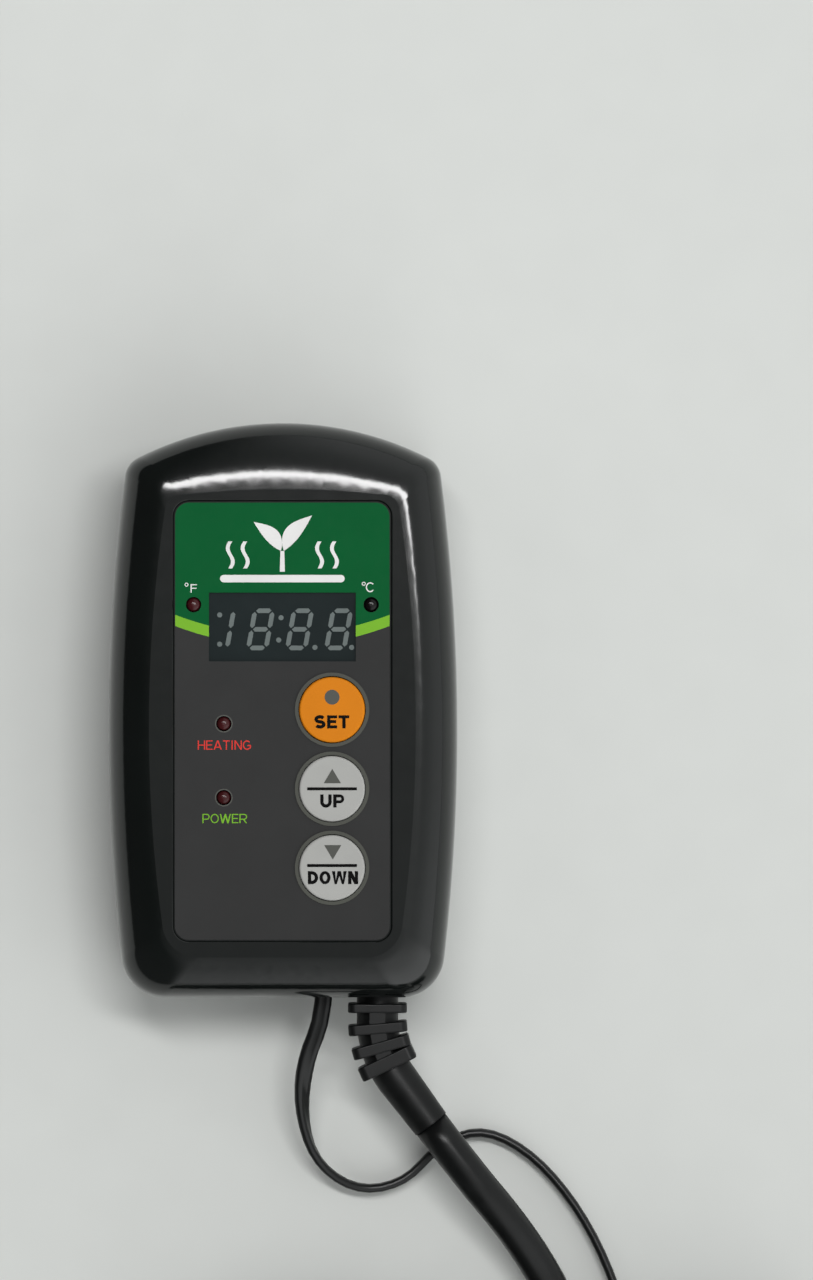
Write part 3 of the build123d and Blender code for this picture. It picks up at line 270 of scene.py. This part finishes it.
def soft_light(name, place, target, size, power, glossy=False):
    """A rectangular softbox at a place, aimed at a target, in metres."""
    data = bpy.data.lights.new(name, "AREA")
    data.shape = "RECTANGLE"
    data.size, data.size_y = size
    data.energy = power
    light = bpy.data.objects.new(name, data)
    scene.collection.objects.link(light)
    light.location = place
    aim = Vector(target) - Vector(place)
    light.rotation_euler = aim.to_track_quat("-Z", "Y").to_euler()
    light.visible_camera = False
    light.visible_glossy = glossy


soft_light("top_softbox", (0.08, 0.25, 1.1), (0.0, 0.05, 0.04), (0.72, 0.13), 7.2, glossy=True)
soft_light("right_softbox", (1.1, -0.2, 0.9), (0.0, 0.0, 0.02), (1.0, 1.2), 0.9)
soft_light("left_softbox", (-1.1, 0.1, 0.9), (0.0, 0.0, 0.02), (1.0, 1.2), 2.1)
soft_light("front_softbox", (0.1, -1.1, 1.0), (0.0, -0.05, 0.02), (1.4, 0.9), 1.0)

world = bpy.data.worlds.new("studio")
scene.world = world
world.use_nodes = True
sky = world.node_tree
direction = sky.nodes.new("ShaderNodeTexCoord")
split = sky.nodes.new("ShaderNodeSeparateXYZ")
sky.links.new(direction.outputs["Generated"], split.inputs[0])


def sky_ramp(axis, start, end, low, high):
    """A grey that eases from low to high as the direction goes from start to end on an axis."""
    node = sky.nodes.new("ShaderNodeMapRange")
    node.interpolation_type = "SMOOTHSTEP"
    for name, number in zip(("From Min", "From Max", "To Min", "To Max"), (start, end, low, high)):
        node.inputs[name].default_value = number
    sky.links.new(split.outputs[axis], node.inputs["Value"])
    return node.outputs["Result"]


# The room is darker to the left and straight overhead, and brighter towards the front
strength = sky_ramp("X", -0.26, 0.20, 0.05, 0.78)
for ramp in (sky_ramp("Z", 0.35, 0.95, 1.0, 0.72), sky_ramp("Y", -0.4, 0.0, 1.9, 1.0)):
    product = sky.nodes.new("ShaderNodeMath")
    product.operation = "MULTIPLY"
    sky.links.new(strength, product.inputs[0])
    sky.links.new(ramp, product.inputs[1])
    strength = product.outputs["Value"]
sky.links.new(strength, sky.nodes["Background"].inputs["Strength"])
sky.nodes["Background"].inputs["Color"].default_value = (0.98, 1.0, 1.0, 1)
scene.view_settings.view_transform = "Standard"


# ---------------------------------------------------------------- materials
def linear(code):
    """A colour given as six hexadecimal digits, in linear light."""
    values = [int(code[i : i + 2], 16) / 255 for i in (0, 2, 4)]
    return tuple(v / 12.92 if v <= 0.04045 else ((v + 0.055) / 1.055) ** 2.4 for v in values)


surfaces = {}


class Surface:
    """A procedural material, kept in surfaces: one principled shader, with helpers for patterns."""

    def __init__(self, name):
        surfaces[name] = material = bpy.data.materials.new(name)
        material.use_nodes = True
        self.tree = material.node_tree
        self.shader = self.tree.nodes["Principled BSDF"]
        self.place = self.tree.nodes.new("ShaderNodeTexCoord").outputs["Object"]

    def link(self, source, target):
        """Join an output to an input."""
        self.tree.links.new(source, target)

    def value(self, name, amount):
        """Set one of the shader's own sockets."""
        self.shader.inputs[name].default_value = amount

    def stretched(self, scale):
        """The object's coordinates, scaled by a different number on each axis."""
        mapping = self.tree.nodes.new("ShaderNodeMapping")
        mapping.inputs["Scale"].default_value = scale
        self.link(self.place, mapping.inputs["Vector"])
        return mapping.outputs["Vector"]

    def noise(self, size, detail=3.0, roughness=0.5, stretch=None):
        """Soft noise with features of about this size, in millimetres."""
        node = self.tree.nodes.new("ShaderNodeTexNoise")
        node.inputs["Scale"].default_value = 1 / (size * MM)
        node.inputs["Detail"].default_value = detail
        node.inputs["Roughness"].default_value = roughness
        self.link(self.stretched(stretch) if stretch else self.place, node.inputs["Vector"])
        return node.outputs["Fac"]

    def between(self, pattern, low, high, start=0.3, end=0.7):
        """A number that goes from low to high as the pattern goes from start to end."""
        node = self.tree.nodes.new("ShaderNodeMapRange")
        node.inputs["From Min"].default_value = start
        node.inputs["From Max"].default_value = end
        node.inputs["To Min"].default_value = low
        node.inputs["To Max"].default_value = high
        self.link(pattern, node.inputs["Value"])
        return node.outputs["Result"]

    def colours(self, pattern, *stops):
        """A colour from a ramp of (position, colour) stops."""
        node = self.tree.nodes.new("ShaderNodeValToRGB")
        ramp = node.color_ramp
        while len(ramp.elements) < len(stops):
            ramp.elements.new(0.5)
        for element, (position, colour) in zip(ramp.elements, stops):
            element.position = position
            element.color = (*colour, 1)
        self.link(pattern, node.inputs["Fac"])
        return node.outputs["Color"]

    def bump(self, pattern, height, previous=None):
        """Relief of this height, in millimetres."""
        node = self.tree.nodes.new("ShaderNodeBump")
        node.inputs["Distance"].default_value = height * MM
        node.inputs["Strength"].default_value = 1.0
        self.link(pattern, node.inputs["Height"])
        if previous:
            self.link(previous, node.inputs["Normal"])
        return node.outputs["Normal"]


def shade(colour, amount):
    """A colour made lighter or darker."""
    return tuple(min(1.0, c * amount) for c in colour)


def moulded(
    name,
    code,
    roughness,
    spread=0.05,
    vary=0.12,
    grain=0.5,
    relief=0.004,
    peel=0.0,
    coat=0.0,
    specular=0.5,
):
    """Moulded plastic or vinyl: slightly uneven colour and gloss, a fine grain and orange peel."""
    s = Surface(name)
    base = linear(code)
    broad = s.noise(size=14, detail=3)
    s.link(
        s.colours(broad, (0.3, shade(base, 1 - vary)), (0.7, shade(base, 1 + vary))),
        s.shader.inputs["Base Color"],
    )
    s.link(
        s.between(s.noise(size=3.5, detail=4), roughness - spread, roughness + spread),
        s.shader.inputs["Roughness"],
    )
    normal = s.bump(s.noise(grain, detail=2), relief)
    if peel:
        normal = s.bump(s.noise(size=5, detail=1), peel, normal)
    s.link(normal, s.shader.inputs["Normal"])
    s.value("Coat Weight", coat)
    s.value("Coat Roughness", 0.08)
    s.value("Specular IOR Level", specular)


def metal(name, code, roughness, streak=(1, 1, 1), relief=0.002):
    """Drawn or plated metal with fine streaks."""
    s = Surface(name)
    base = linear(code)
    streaks = s.noise(size=0.5, detail=3, roughness=0.6, stretch=streak)
    s.link(
        s.colours(streaks, (0.3, shade(base, 0.86)), (0.7, shade(base, 1.08))),
        s.shader.inputs["Base Color"],
    )
    s.link(
        s.between(streaks, roughness - 0.06, roughness + 0.10), s.shader.inputs["Roughness"]
    )
    s.link(s.bump(streaks, relief), s.shader.inputs["Normal"])
    s.value("Metallic", 1.0)


def printed_ink(name, code, roughness=0.48):
    """Ink behind a finely textured film."""
    s = Surface(name)
    base = linear(code)
    s.link(
        s.colours(
            s.noise(size=9, detail=2), (0.3, shade(base, 0.965)), (0.7, shade(base, 1.03))
        ),
        s.shader.inputs["Base Color"],
    )
    s.link(
        s.between(s.noise(size=1.2, detail=2), roughness - 0.04, roughness + 0.05),
        s.shader.inputs["Roughness"],
    )
    s.link(s.bump(s.noise(size=0.16, detail=1), height=0.0012), s.shader.inputs["Normal"])
    s.value("Specular IOR Level", 0.04)


moulded(
    "casing_black", "0d100f", 0.12, spread=0.01, vary=0.10, grain=0.9, relief=0.0002, peel=0.0004
)
printed_ink("printed_film", "323232")
printed_ink("print_green", "035229")
printed_ink("print_lime", "72a92f")
printed_ink("print_white", "d9d8d7")
printed_ink("print_red", "cf3a34")
printed_ink("print_black", "070707")
printed_ink("print_grey", "52534f")
printed_ink("ring_grey", "4d4e49")
printed_ink("key_orange", "cb7817", 0.38)
printed_ink("key_grey", "a2a29f", 0.38)
moulded("switch_black", "1a1a1a", 0.5)
moulded("plunger_red", "8f1f1a", 0.45)
moulded("board_green", "0f4a2c", 0.35, spread=0.08, vary=0.25, grain=0.8, relief=0.01, coat=0.4)
metal("steel", "b9bcc0", 0.28, streak=(6, 1, 1))
moulded(
    "display_slate", "1d2425", 0.10, spread=0.02, vary=0.08, grain=0.6, relief=0.0002, specular=0.2
)
moulded(
    "segment_grey", "626a69", 0.3, spread=0.04, vary=0.06, grain=0.2, relief=0.0005, specular=0.1
)
metal("tin_plated", "c9cbc9", 0.32)
moulded("led_red", "3a1214", 0.22, spread=0.03, vary=0.25, grain=0.8, relief=0.0005, specular=0.3)
moulded("led_dark", "0c0a0a", 0.22, spread=0.03, vary=0.25, grain=0.8, relief=0.0005, specular=0.25)
moulded("chip_black", "141414", 0.5)
metal("lamination", "5b5c5e", 0.5, streak=(1, 1, 14), relief=0.02)
moulded("winding_tape", "c7a32a", 0.35)
moulded("relay_blue", "1d4f9a", 0.32)
moulded("capacitor_yellow", "d8b43a", 0.4)
moulded("capacitor_sleeve", "1b2340", 0.3)
moulded("fuse_glass", "c3ccca", 0.08)
moulded("varistor_blue", "2a5fae", 0.4)
moulded("nylon_white", "e4e2da", 0.45)
moulded(
    "relief_vinyl", "0c0d0d", 0.4, spread=0.06, vary=0.15, grain=0.35, relief=0.006, specular=0.25
)
moulded("cord_vinyl", "0c0d0d", 0.34, spread=0.06, vary=0.15, relief=0.006, specular=0.3)
moulded("lead_vinyl", "0e0f0f", 0.33, vary=0.15, grain=0.4, specular=0.35)
moulded("tie_nylon", "1d1e1e", 0.42, spread=0.06, vary=0.15, grain=0.3, relief=0.006)
moulded("boot_sleeve", "101010", 0.5, spread=0.06, vary=0.15, grain=0.4, relief=0.01)
moulded("probe_epoxy", "121212", 0.2, vary=0.15, grain=1.5, peel=0.01)
moulded("clamp_nylon", "1c1c1c", 0.45)
moulded("plug_vinyl", "151616", 0.38, spread=0.06, grain=0.35, relief=0.008)
moulded("outlet_black", "0f1010", 0.3, grain=0.4, relief=0.003)
metal("brass_leaf", "c79b4b", 0.3)
metal("nickel_brass", "c3bfb2", 0.24, streak=(1, 8, 8))
moulded("wire_black", "151515", 0.4)
moulded("wire_red", "8f1b16", 0.4)
moulded("wire_white", "dedcd6", 0.4)
moulded("floor", "cccecb", 0.8, spread=0.03, vary=0.01, grain=2.0, relief=0.0)


def dress(obj, name):
    """Give an object one of the surfaces."""
    obj.data.materials.clear()
    obj.data.materials.append(surfaces[name])


for node in nodes.values():
    slot_name = node.data.materials[0].name.split(".")[0]
    node.material_slots[0].material = surfaces[slot_name]
for piece, name in ((power_cable, "cord_vinyl"), (probe_cable, "lead_vinyl"), (floor, "floor")):
    dress(piece, name)


# ---------------------------------------------------------------- printed graphics
# Thickness of a print. White prints on the green field lie on top of it
PRINT = 0.03
FILM_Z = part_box("overlay_label")[1].z / MM
ON_GREEN = FILM_Z + PRINT
KEY_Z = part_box("set_key")[1].z / MM
film_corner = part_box("overlay_label")[1] / MM
window_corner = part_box("led_display")[1] / MM


def drawn(name, outlines, surface, level, body="root", slot="printed_film"):
    """A thin print resting on a level, in millimetres; an outline inside another is a hole."""
    curve = bpy.data.curves.new(name, "CURVE")
    curve.dimensions = "2D"
    curve.fill_mode = "BOTH"
    curve.extrude = PRINT / 2 * MM
    for outline in outlines:
        line = curve.splines.new("POLY")
        line.points.add(len(outline) - 1)
        for control, (x, y) in zip(line.points, outline):
            control.co = (x * MM, y * MM, 0, 1)
        line.use_cyclic_u = True
    holder = bpy.data.objects.new(name, curve)
    mesh = bpy.data.meshes.new_from_object(holder)
    bpy.data.objects.remove(holder)
    bpy.data.curves.remove(curve)
    mesh.transform(Matrix.Translation((0, 0, (level + PRINT / 2) * MM)))
    piece = bpy.data.objects.new(name, mesh)
    scene.collection.objects.link(piece)
    dress(piece, surface)
    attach(piece, body)


def oval(x, y, rx, ry, start, end, count=16):
    """Points along part of an oval."""
    return [
        (
            x + rx * math.cos(math.radians(start + (end - start) * i / count)),
            y + ry * math.sin(math.radians(start + (end - start) * i / count)),
        )
        for i in range(count + 1)
    ]


def arc(x, y, radius, start, end, count=8):
    """Points along part of a circle."""
    return oval(x, y, radius, radius, start, end, count)


def circle(x, y, radius, count=40):
    """Points round a whole circle."""
    return oval(x, y, radius, radius, 0, 360, count)[:-1]


def box_outline(x0, y0, x1, y1, radius):
    """A rectangle with rounded corners."""
    return (
        arc(x1 - radius, y1 - radius, radius, 0, 90)
        + arc(x0 + radius, y1 - radius, radius, 90, 180)
        + arc(x0 + radius, y0 + radius, radius, 180, 270)
        + arc(x1 - radius, y0 + radius, radius, 270, 360)
    )


def band(path, width):
    """The outline of a stroke of even width along a path."""
    left, right = [], []
    for index, point in enumerate(path):
        runs = []
        if index:
            runs.append((Vector(point) - Vector(path[index - 1])).normalized())
        if index + 1 < len(path):
            runs.append((Vector(path[index + 1]) - Vector(point)).normalized())
        along = (runs[0] + runs[-1]).normalized()
        reach = width / 2 / along.dot(runs[0])
        across = Vector((-along.y, along.x)) * reach
        left.append(tuple(Vector(point) + across))
        right.append(tuple(Vector(point) - across))
    return left + right[::-1]


LETTER_WIDTHS = dict(
    A=1.08, C=1.02, D=0.98, E=0.84, F=0.8, G=1.06, H=0.96, I=0.34,
    N=0.96, O=1.06, P=0.92, R=0.98, S=0.94, T=0.9, U=0.96, W=1.42,
)
LETTER_GAP = 0.13


def letter(char, w, h, s):
    """Outlines of a plain capital of width w and height h with strokes s wide."""
    middle, bar = h / 2, s * 0.88
    bowl = (h * 0.57 + bar / 2) / 2
    half, rise = (w - s) / 2, (h - bar) / 2
    slant = s * 1.12
    if char == "A":
        top, run = s * 0.58, w / 2 - s * 0.58
        low, high = h * 0.22, h * 0.22 + bar
        point = h * (w / 2 - slant) / run
        left = [(slant + run * y / h, y) for y in (0, low, high)]
        right = [(w - x, y) for x, y in left]
        outer = [(0, 0), (w / 2 - top, h), (w / 2 + top, h), (w, 0)]
        return [
            outer + [right[0], right[1], left[1], left[0]],
            [left[2], (w / 2, point), right[2]],
        ]
    if char == "C":
        return [band(oval(w / 2, middle, half, rise, 42, 318, 28), s)]
    if char == "D":
        r = min(middle, w * 0.62)
        hole = [(s, bar)] + arc(w - r, r, r - s, -90, 0) + arc(w - r, h - r, r - s, 0, 90)
        return [
            [(0, 0)] + arc(w - r, r, r, -90, 0) + arc(w - r, h - r, r, 0, 90) + [(0, h)],
            hole + [(s, h - bar)],
        ]
    if char in "EF":
        short = w * 0.92
        outline = [(0, h), (w, h), (w, h - bar), (s, h - bar)]
        outline += [(s, middle + bar * 0.6), (short, middle + bar * 0.6)]
        outline += [(short, middle - bar * 0.4), (s, middle - bar * 0.4)]
        foot = [(s, bar), (w, bar), (w, 0)] if char == "E" else [(s, 0)]
        return [outline + foot + [(0, 0)]]
    if char == "G":
        path = oval(w / 2, middle, half, rise, 42, 305, 28)
        return [band(path + [(w - s / 2, h * 0.2), (w - s / 2, h * 0.45), (w * 0.56, h * 0.45)], s)]
    if char == "H":
        low, high = middle - bar / 2, middle + bar / 2
        left = [(0, 0), (0, h), (s, h), (s, high), (w - s, high), (w - s, h)]
        return [left + [(w, h), (w, 0), (w - s, 0), (w - s, low), (s, low), (s, 0)]]
    if char == "I":
        left, right = (w - s) / 2, (w + s) / 2
        return [[(left, 0), (left, h), (right, h), (right, 0)]]
    if char == "N":
        cut = h * s / (w - slant)
        outline = [(0, 0), (0, h), (slant, h), (w - s, cut), (w - s, h), (w, h)]
        return [outline + [(w, 0), (w - slant, 0), (s, h - cut), (s, 0)]]
    if char == "O":
        inner = oval(w / 2, middle, w / 2 - s, h / 2 - bar, 0, 360, 36)
        return [oval(w / 2, middle, w / 2, middle, 0, 360, 36)[:-1], inner[:-1]]
    if char in "PR":
        low, x = h - 2 * bowl, w - bowl * 0.98
        foot = [(0, 0), (s, 0), (s, low)]
        if char == "R":
            foot += [(w * 0.5, low), (w - slant, 0), (w, 0), (w * 0.5 + slant, low)]
        inner = arc(x, low + bowl, bowl - bar, -90, 90)
        return [
            foot + arc(x, low + bowl, bowl, -90 if char == "P" else -70, 90) + [(0, h)],
            [(s, low + bar)] + inner + [(s, h - bar)],
        ]
    if char == "S":
        upper = oval(w / 2, h - bar / 2 - rise / 2, half, rise / 2, 28, 270)
        return [band(upper + oval(w / 2, bar / 2 + rise / 2, half, rise / 2, 90, -152)[1:], s)]
    if char == "T":
        left, right = (w - s) / 2, (w + s) / 2
        stem = [(right, h - bar), (right, 0), (left, 0), (left, h - bar)]
        return [[(0, h), (w, h), (w, h - bar)] + stem + [(0, h - bar)]]
    if char == "U":
        base = oval(w / 2, half + bar / 2, half, half, 180, 360)
        return [band([(s / 2, h)] + base + [(w - s / 2, h)], s)]
    feet = [(w * 0.81, 0), (w * 0.67, 0), (w / 2, h * 0.64), (w * 0.33, 0), (w * 0.19, 0)]
    valleys = [(s, h), (w * 0.26, h * 0.3), ((w - s) / 2, h)]
    valleys += [((w + s) / 2, h), (w * 0.74, h * 0.3), (w - s, h)]
    return [[(0, h)] + valleys + [(w, h)] + feet]


def lettered(name, text, box, stroke, surface, level, body="root", slot="printed_film"):
    """A word in plain capitals that fills a box of x0, y0, x1, y1."""
    x0, y0, x1, y1 = box
    gaps = LETTER_GAP * (len(text) - 1)
    unit = (x1 - x0) / (sum(LETTER_WIDTHS[char] for char in text) + gaps)
    outlines, x = [], x0
    for char in text:
        for outline in letter(char, LETTER_WIDTHS[char] * unit, y1 - y0, stroke):
            outlines.append([(x + a, y0 + b) for a, b in outline])
        x += (LETTER_WIDTHS[char] + LETTER_GAP) * unit
    drawn(name, outlines, surface, level, body, slot)


# The printed colours stop a little inside the film
INSET = 0.05
EDGE = film_corner.x - INSET
TOP = film_corner.y - INSET
WINDOW_X = window_corner.x
WINDOW_TOP = window_corner.y
SWEEP = 0.00821
GREEN_BASE = 16.25
LIME_BASE = 13.85
CORNER = 2.95
LAMP_HOLE = 1.66
LAMP_RING = 1.9
UNIT_LAMPS = ((-19.1, 22.8), (19.1, 22.8))
STATUS_LAMPS = ((-12.6, -2.8), (-12.6, -18.7))
LABEL_STROKE = 0.25
DEGREE_RADII = (0.42, 0.24)
DEGREE_SIDES = 24


def sweep_line(base, x):
    """Height of the curved border between two printed colours."""
    return base + SWEEP * x * x


def swept(base, x0, x1, count=8):
    """Points along that border from x0 to x1."""
    return [
        (x0 + (x1 - x0) * i / count, sweep_line(base, x0 + (x1 - x0) * i / count))
        for i in range(count + 1)
    ]


drawn(
    "print_green_field",
    [
        swept(GREEN_BASE, -EDGE, -WINDOW_X)
        + [(-WINDOW_X, WINDOW_TOP), (WINDOW_X, WINDOW_TOP)]
        + swept(GREEN_BASE, WINDOW_X, EDGE)
        + arc(EDGE - CORNER, TOP - CORNER, CORNER, 0, 90)
        + arc(-EDGE + CORNER, TOP - CORNER, CORNER, 90, 180),
        *(circle(x, y, LAMP_HOLE) for x, y in UNIT_LAMPS),
    ],
    "print_green",
    FILM_Z,
)
for side, name in ((-1, "print_lime_left"), (1, "print_lime_right")):
    drawn(
        name,
        [
            swept(GREEN_BASE, side * EDGE, side * WINDOW_X)
            + swept(LIME_BASE, side * WINDOW_X, side * EDGE)
        ],
        "print_lime",
        FILM_Z,
    )

lettered("print_f", "F", (-19.75, 25.4, -18.35, 27.2), LABEL_STROKE, "print_white", ON_GREEN)
lettered("print_c", "C", (17.95, 25.5, 19.85, 27.6), LABEL_STROKE, "print_white", ON_GREEN)
for name, x, y in (("print_f_degree", -20.6, 27.1), ("print_c_degree", 17.5, 27.3)):
    rings = [circle(x, y, radius, DEGREE_SIDES) for radius in DEGREE_RADII]
    drawn(name, rings, "print_white", ON_GREEN)
lettered("print_heating", "HEATING", (-18.2, -8.4, -6.75, -6.4), LABEL_STROKE, "print_red", FILM_Z)
lettered("print_power", "POWER", (-17.2, -24.2, -7.6, -22.2), LABEL_STROKE, "print_lime", FILM_Z)
drawn(
    "print_lamp_rings",
    [circle(x, y, radius) for x, y in STATUS_LAMPS for radius in (LAMP_RING, LAMP_HOLE)],
    "print_grey",
    FILM_Z,
)

# A plain picture of a seedling over a warm mat
drawn("print_mat", [box_outline(-13.4, 27.6, 13.4, 29.2, 0.8)], "print_white", ON_GREEN)


def wavy(x, low, high, swing=0.55, half=0.42, count=20):
    """An upright wavy bar."""
    left, right = [], []
    for i in range(count + 1):
        y = low + (high - low) * i / count
        bend = x + swing * math.sin(2 * math.pi * i / count)
        left.append((bend - half, y))
        right.append((bend + half, y))
    return left + right[::-1]


for index, x in enumerate((-11.2, -8.0, 8.0, 11.2)):
    drawn(f"print_wave_{index}", [wavy(x, 30.6, 36.4)], "print_white", ON_GREEN)


LEAF_STEPS = 16
LEAF_TAPER = 0.8


def leaf(root, tip, bulge):
    """A pointed leaf from root to tip, with a bulge on each side."""
    root, tip = Vector(root), Vector(tip)
    run = tip - root
    across = Vector((-run.y, run.x)).normalized()
    upper, lower = [], []
    for i in range(LEAF_STEPS + 1):
        share = i / LEAF_STEPS
        middle = root + run * share
        width = math.sin(math.pi * share**LEAF_TAPER)
        upper.append(tuple(middle + across * bulge[0] * width))
        lower.append(tuple(middle - across * bulge[1] * width))
    return upper + lower[::-1][1:-1]


drawn("print_leaf_left", [leaf((-0.3, 34.4), (-6.2, 40.6), (0.7, 2.4))], "print_white", ON_GREEN)
drawn("print_leaf_right", [leaf((0.3, 34.4), (6.4, 42.0), (2.6, 0.7))], "print_white", ON_GREEN)
drawn(
    "print_stem",
    [[(-0.55, 29.9), (0.55, 29.9), (0.42, 34.35), (-0.42, 34.35)]],
    "print_white",
    ON_GREEN,
)

# Keys: for each, the box of its word, the height of its bar, and its arrow
KEY_X = 10.7
KEY_STROKE = 0.72
KEY_DOT = 1.6
BAR_HALF_LENGTH = 5.35
BAR_HALF_WIDTH = 0.32
BAR_CORNER = 0.05
set_box = (6.9, -3.8, 14.4, -1.0)
lettered("set_word", "SET", set_box, KEY_STROKE, "print_black", KEY_Z, "set_button", "key_orange")
drawn("set_dot", [circle(KEY_X, 2.9, KEY_DOT)], "print_grey", KEY_Z, "set_button", "key_orange")
for name, word, box, bar_y, triangle in (
    ("up", "UP", (8.15, -20.8, 13.3, -18.0), -16.8, [(8.9, -15.6), (12.6, -15.6), (10.75, -12.5)]),
    ("down", "DOWN", (5.5, -37.3, 16.3, -34.5), -33.3, [(9.0, -28.9), (12.7, -28.9), (10.85, -32)]),
):
    on_key = (KEY_Z, f"{name}_button", "key_grey")
    bar = box_outline(
        KEY_X - BAR_HALF_LENGTH,
        bar_y - BAR_HALF_WIDTH,
        KEY_X + BAR_HALF_LENGTH,
        bar_y + BAR_HALF_WIDTH,
        BAR_CORNER,
    )
    lettered(f"{name}_word", word, box, KEY_STROKE, "print_black", *on_key)
    drawn(f"{name}_bar", [bar], "print_black", *on_key)
    drawn(f"{name}_arrow", [triangle], "print_grey", *on_key)

# Softer corners on the cord ties
TIE_ROUNDING = 0.35
for name in ("power_cord_ties", "probe_lead_ties"):
    rounding = nodes[name].modifiers.new("rounding", "BEVEL")
    rounding.width = TIE_ROUNDING * MM
    rounding.segments = 3
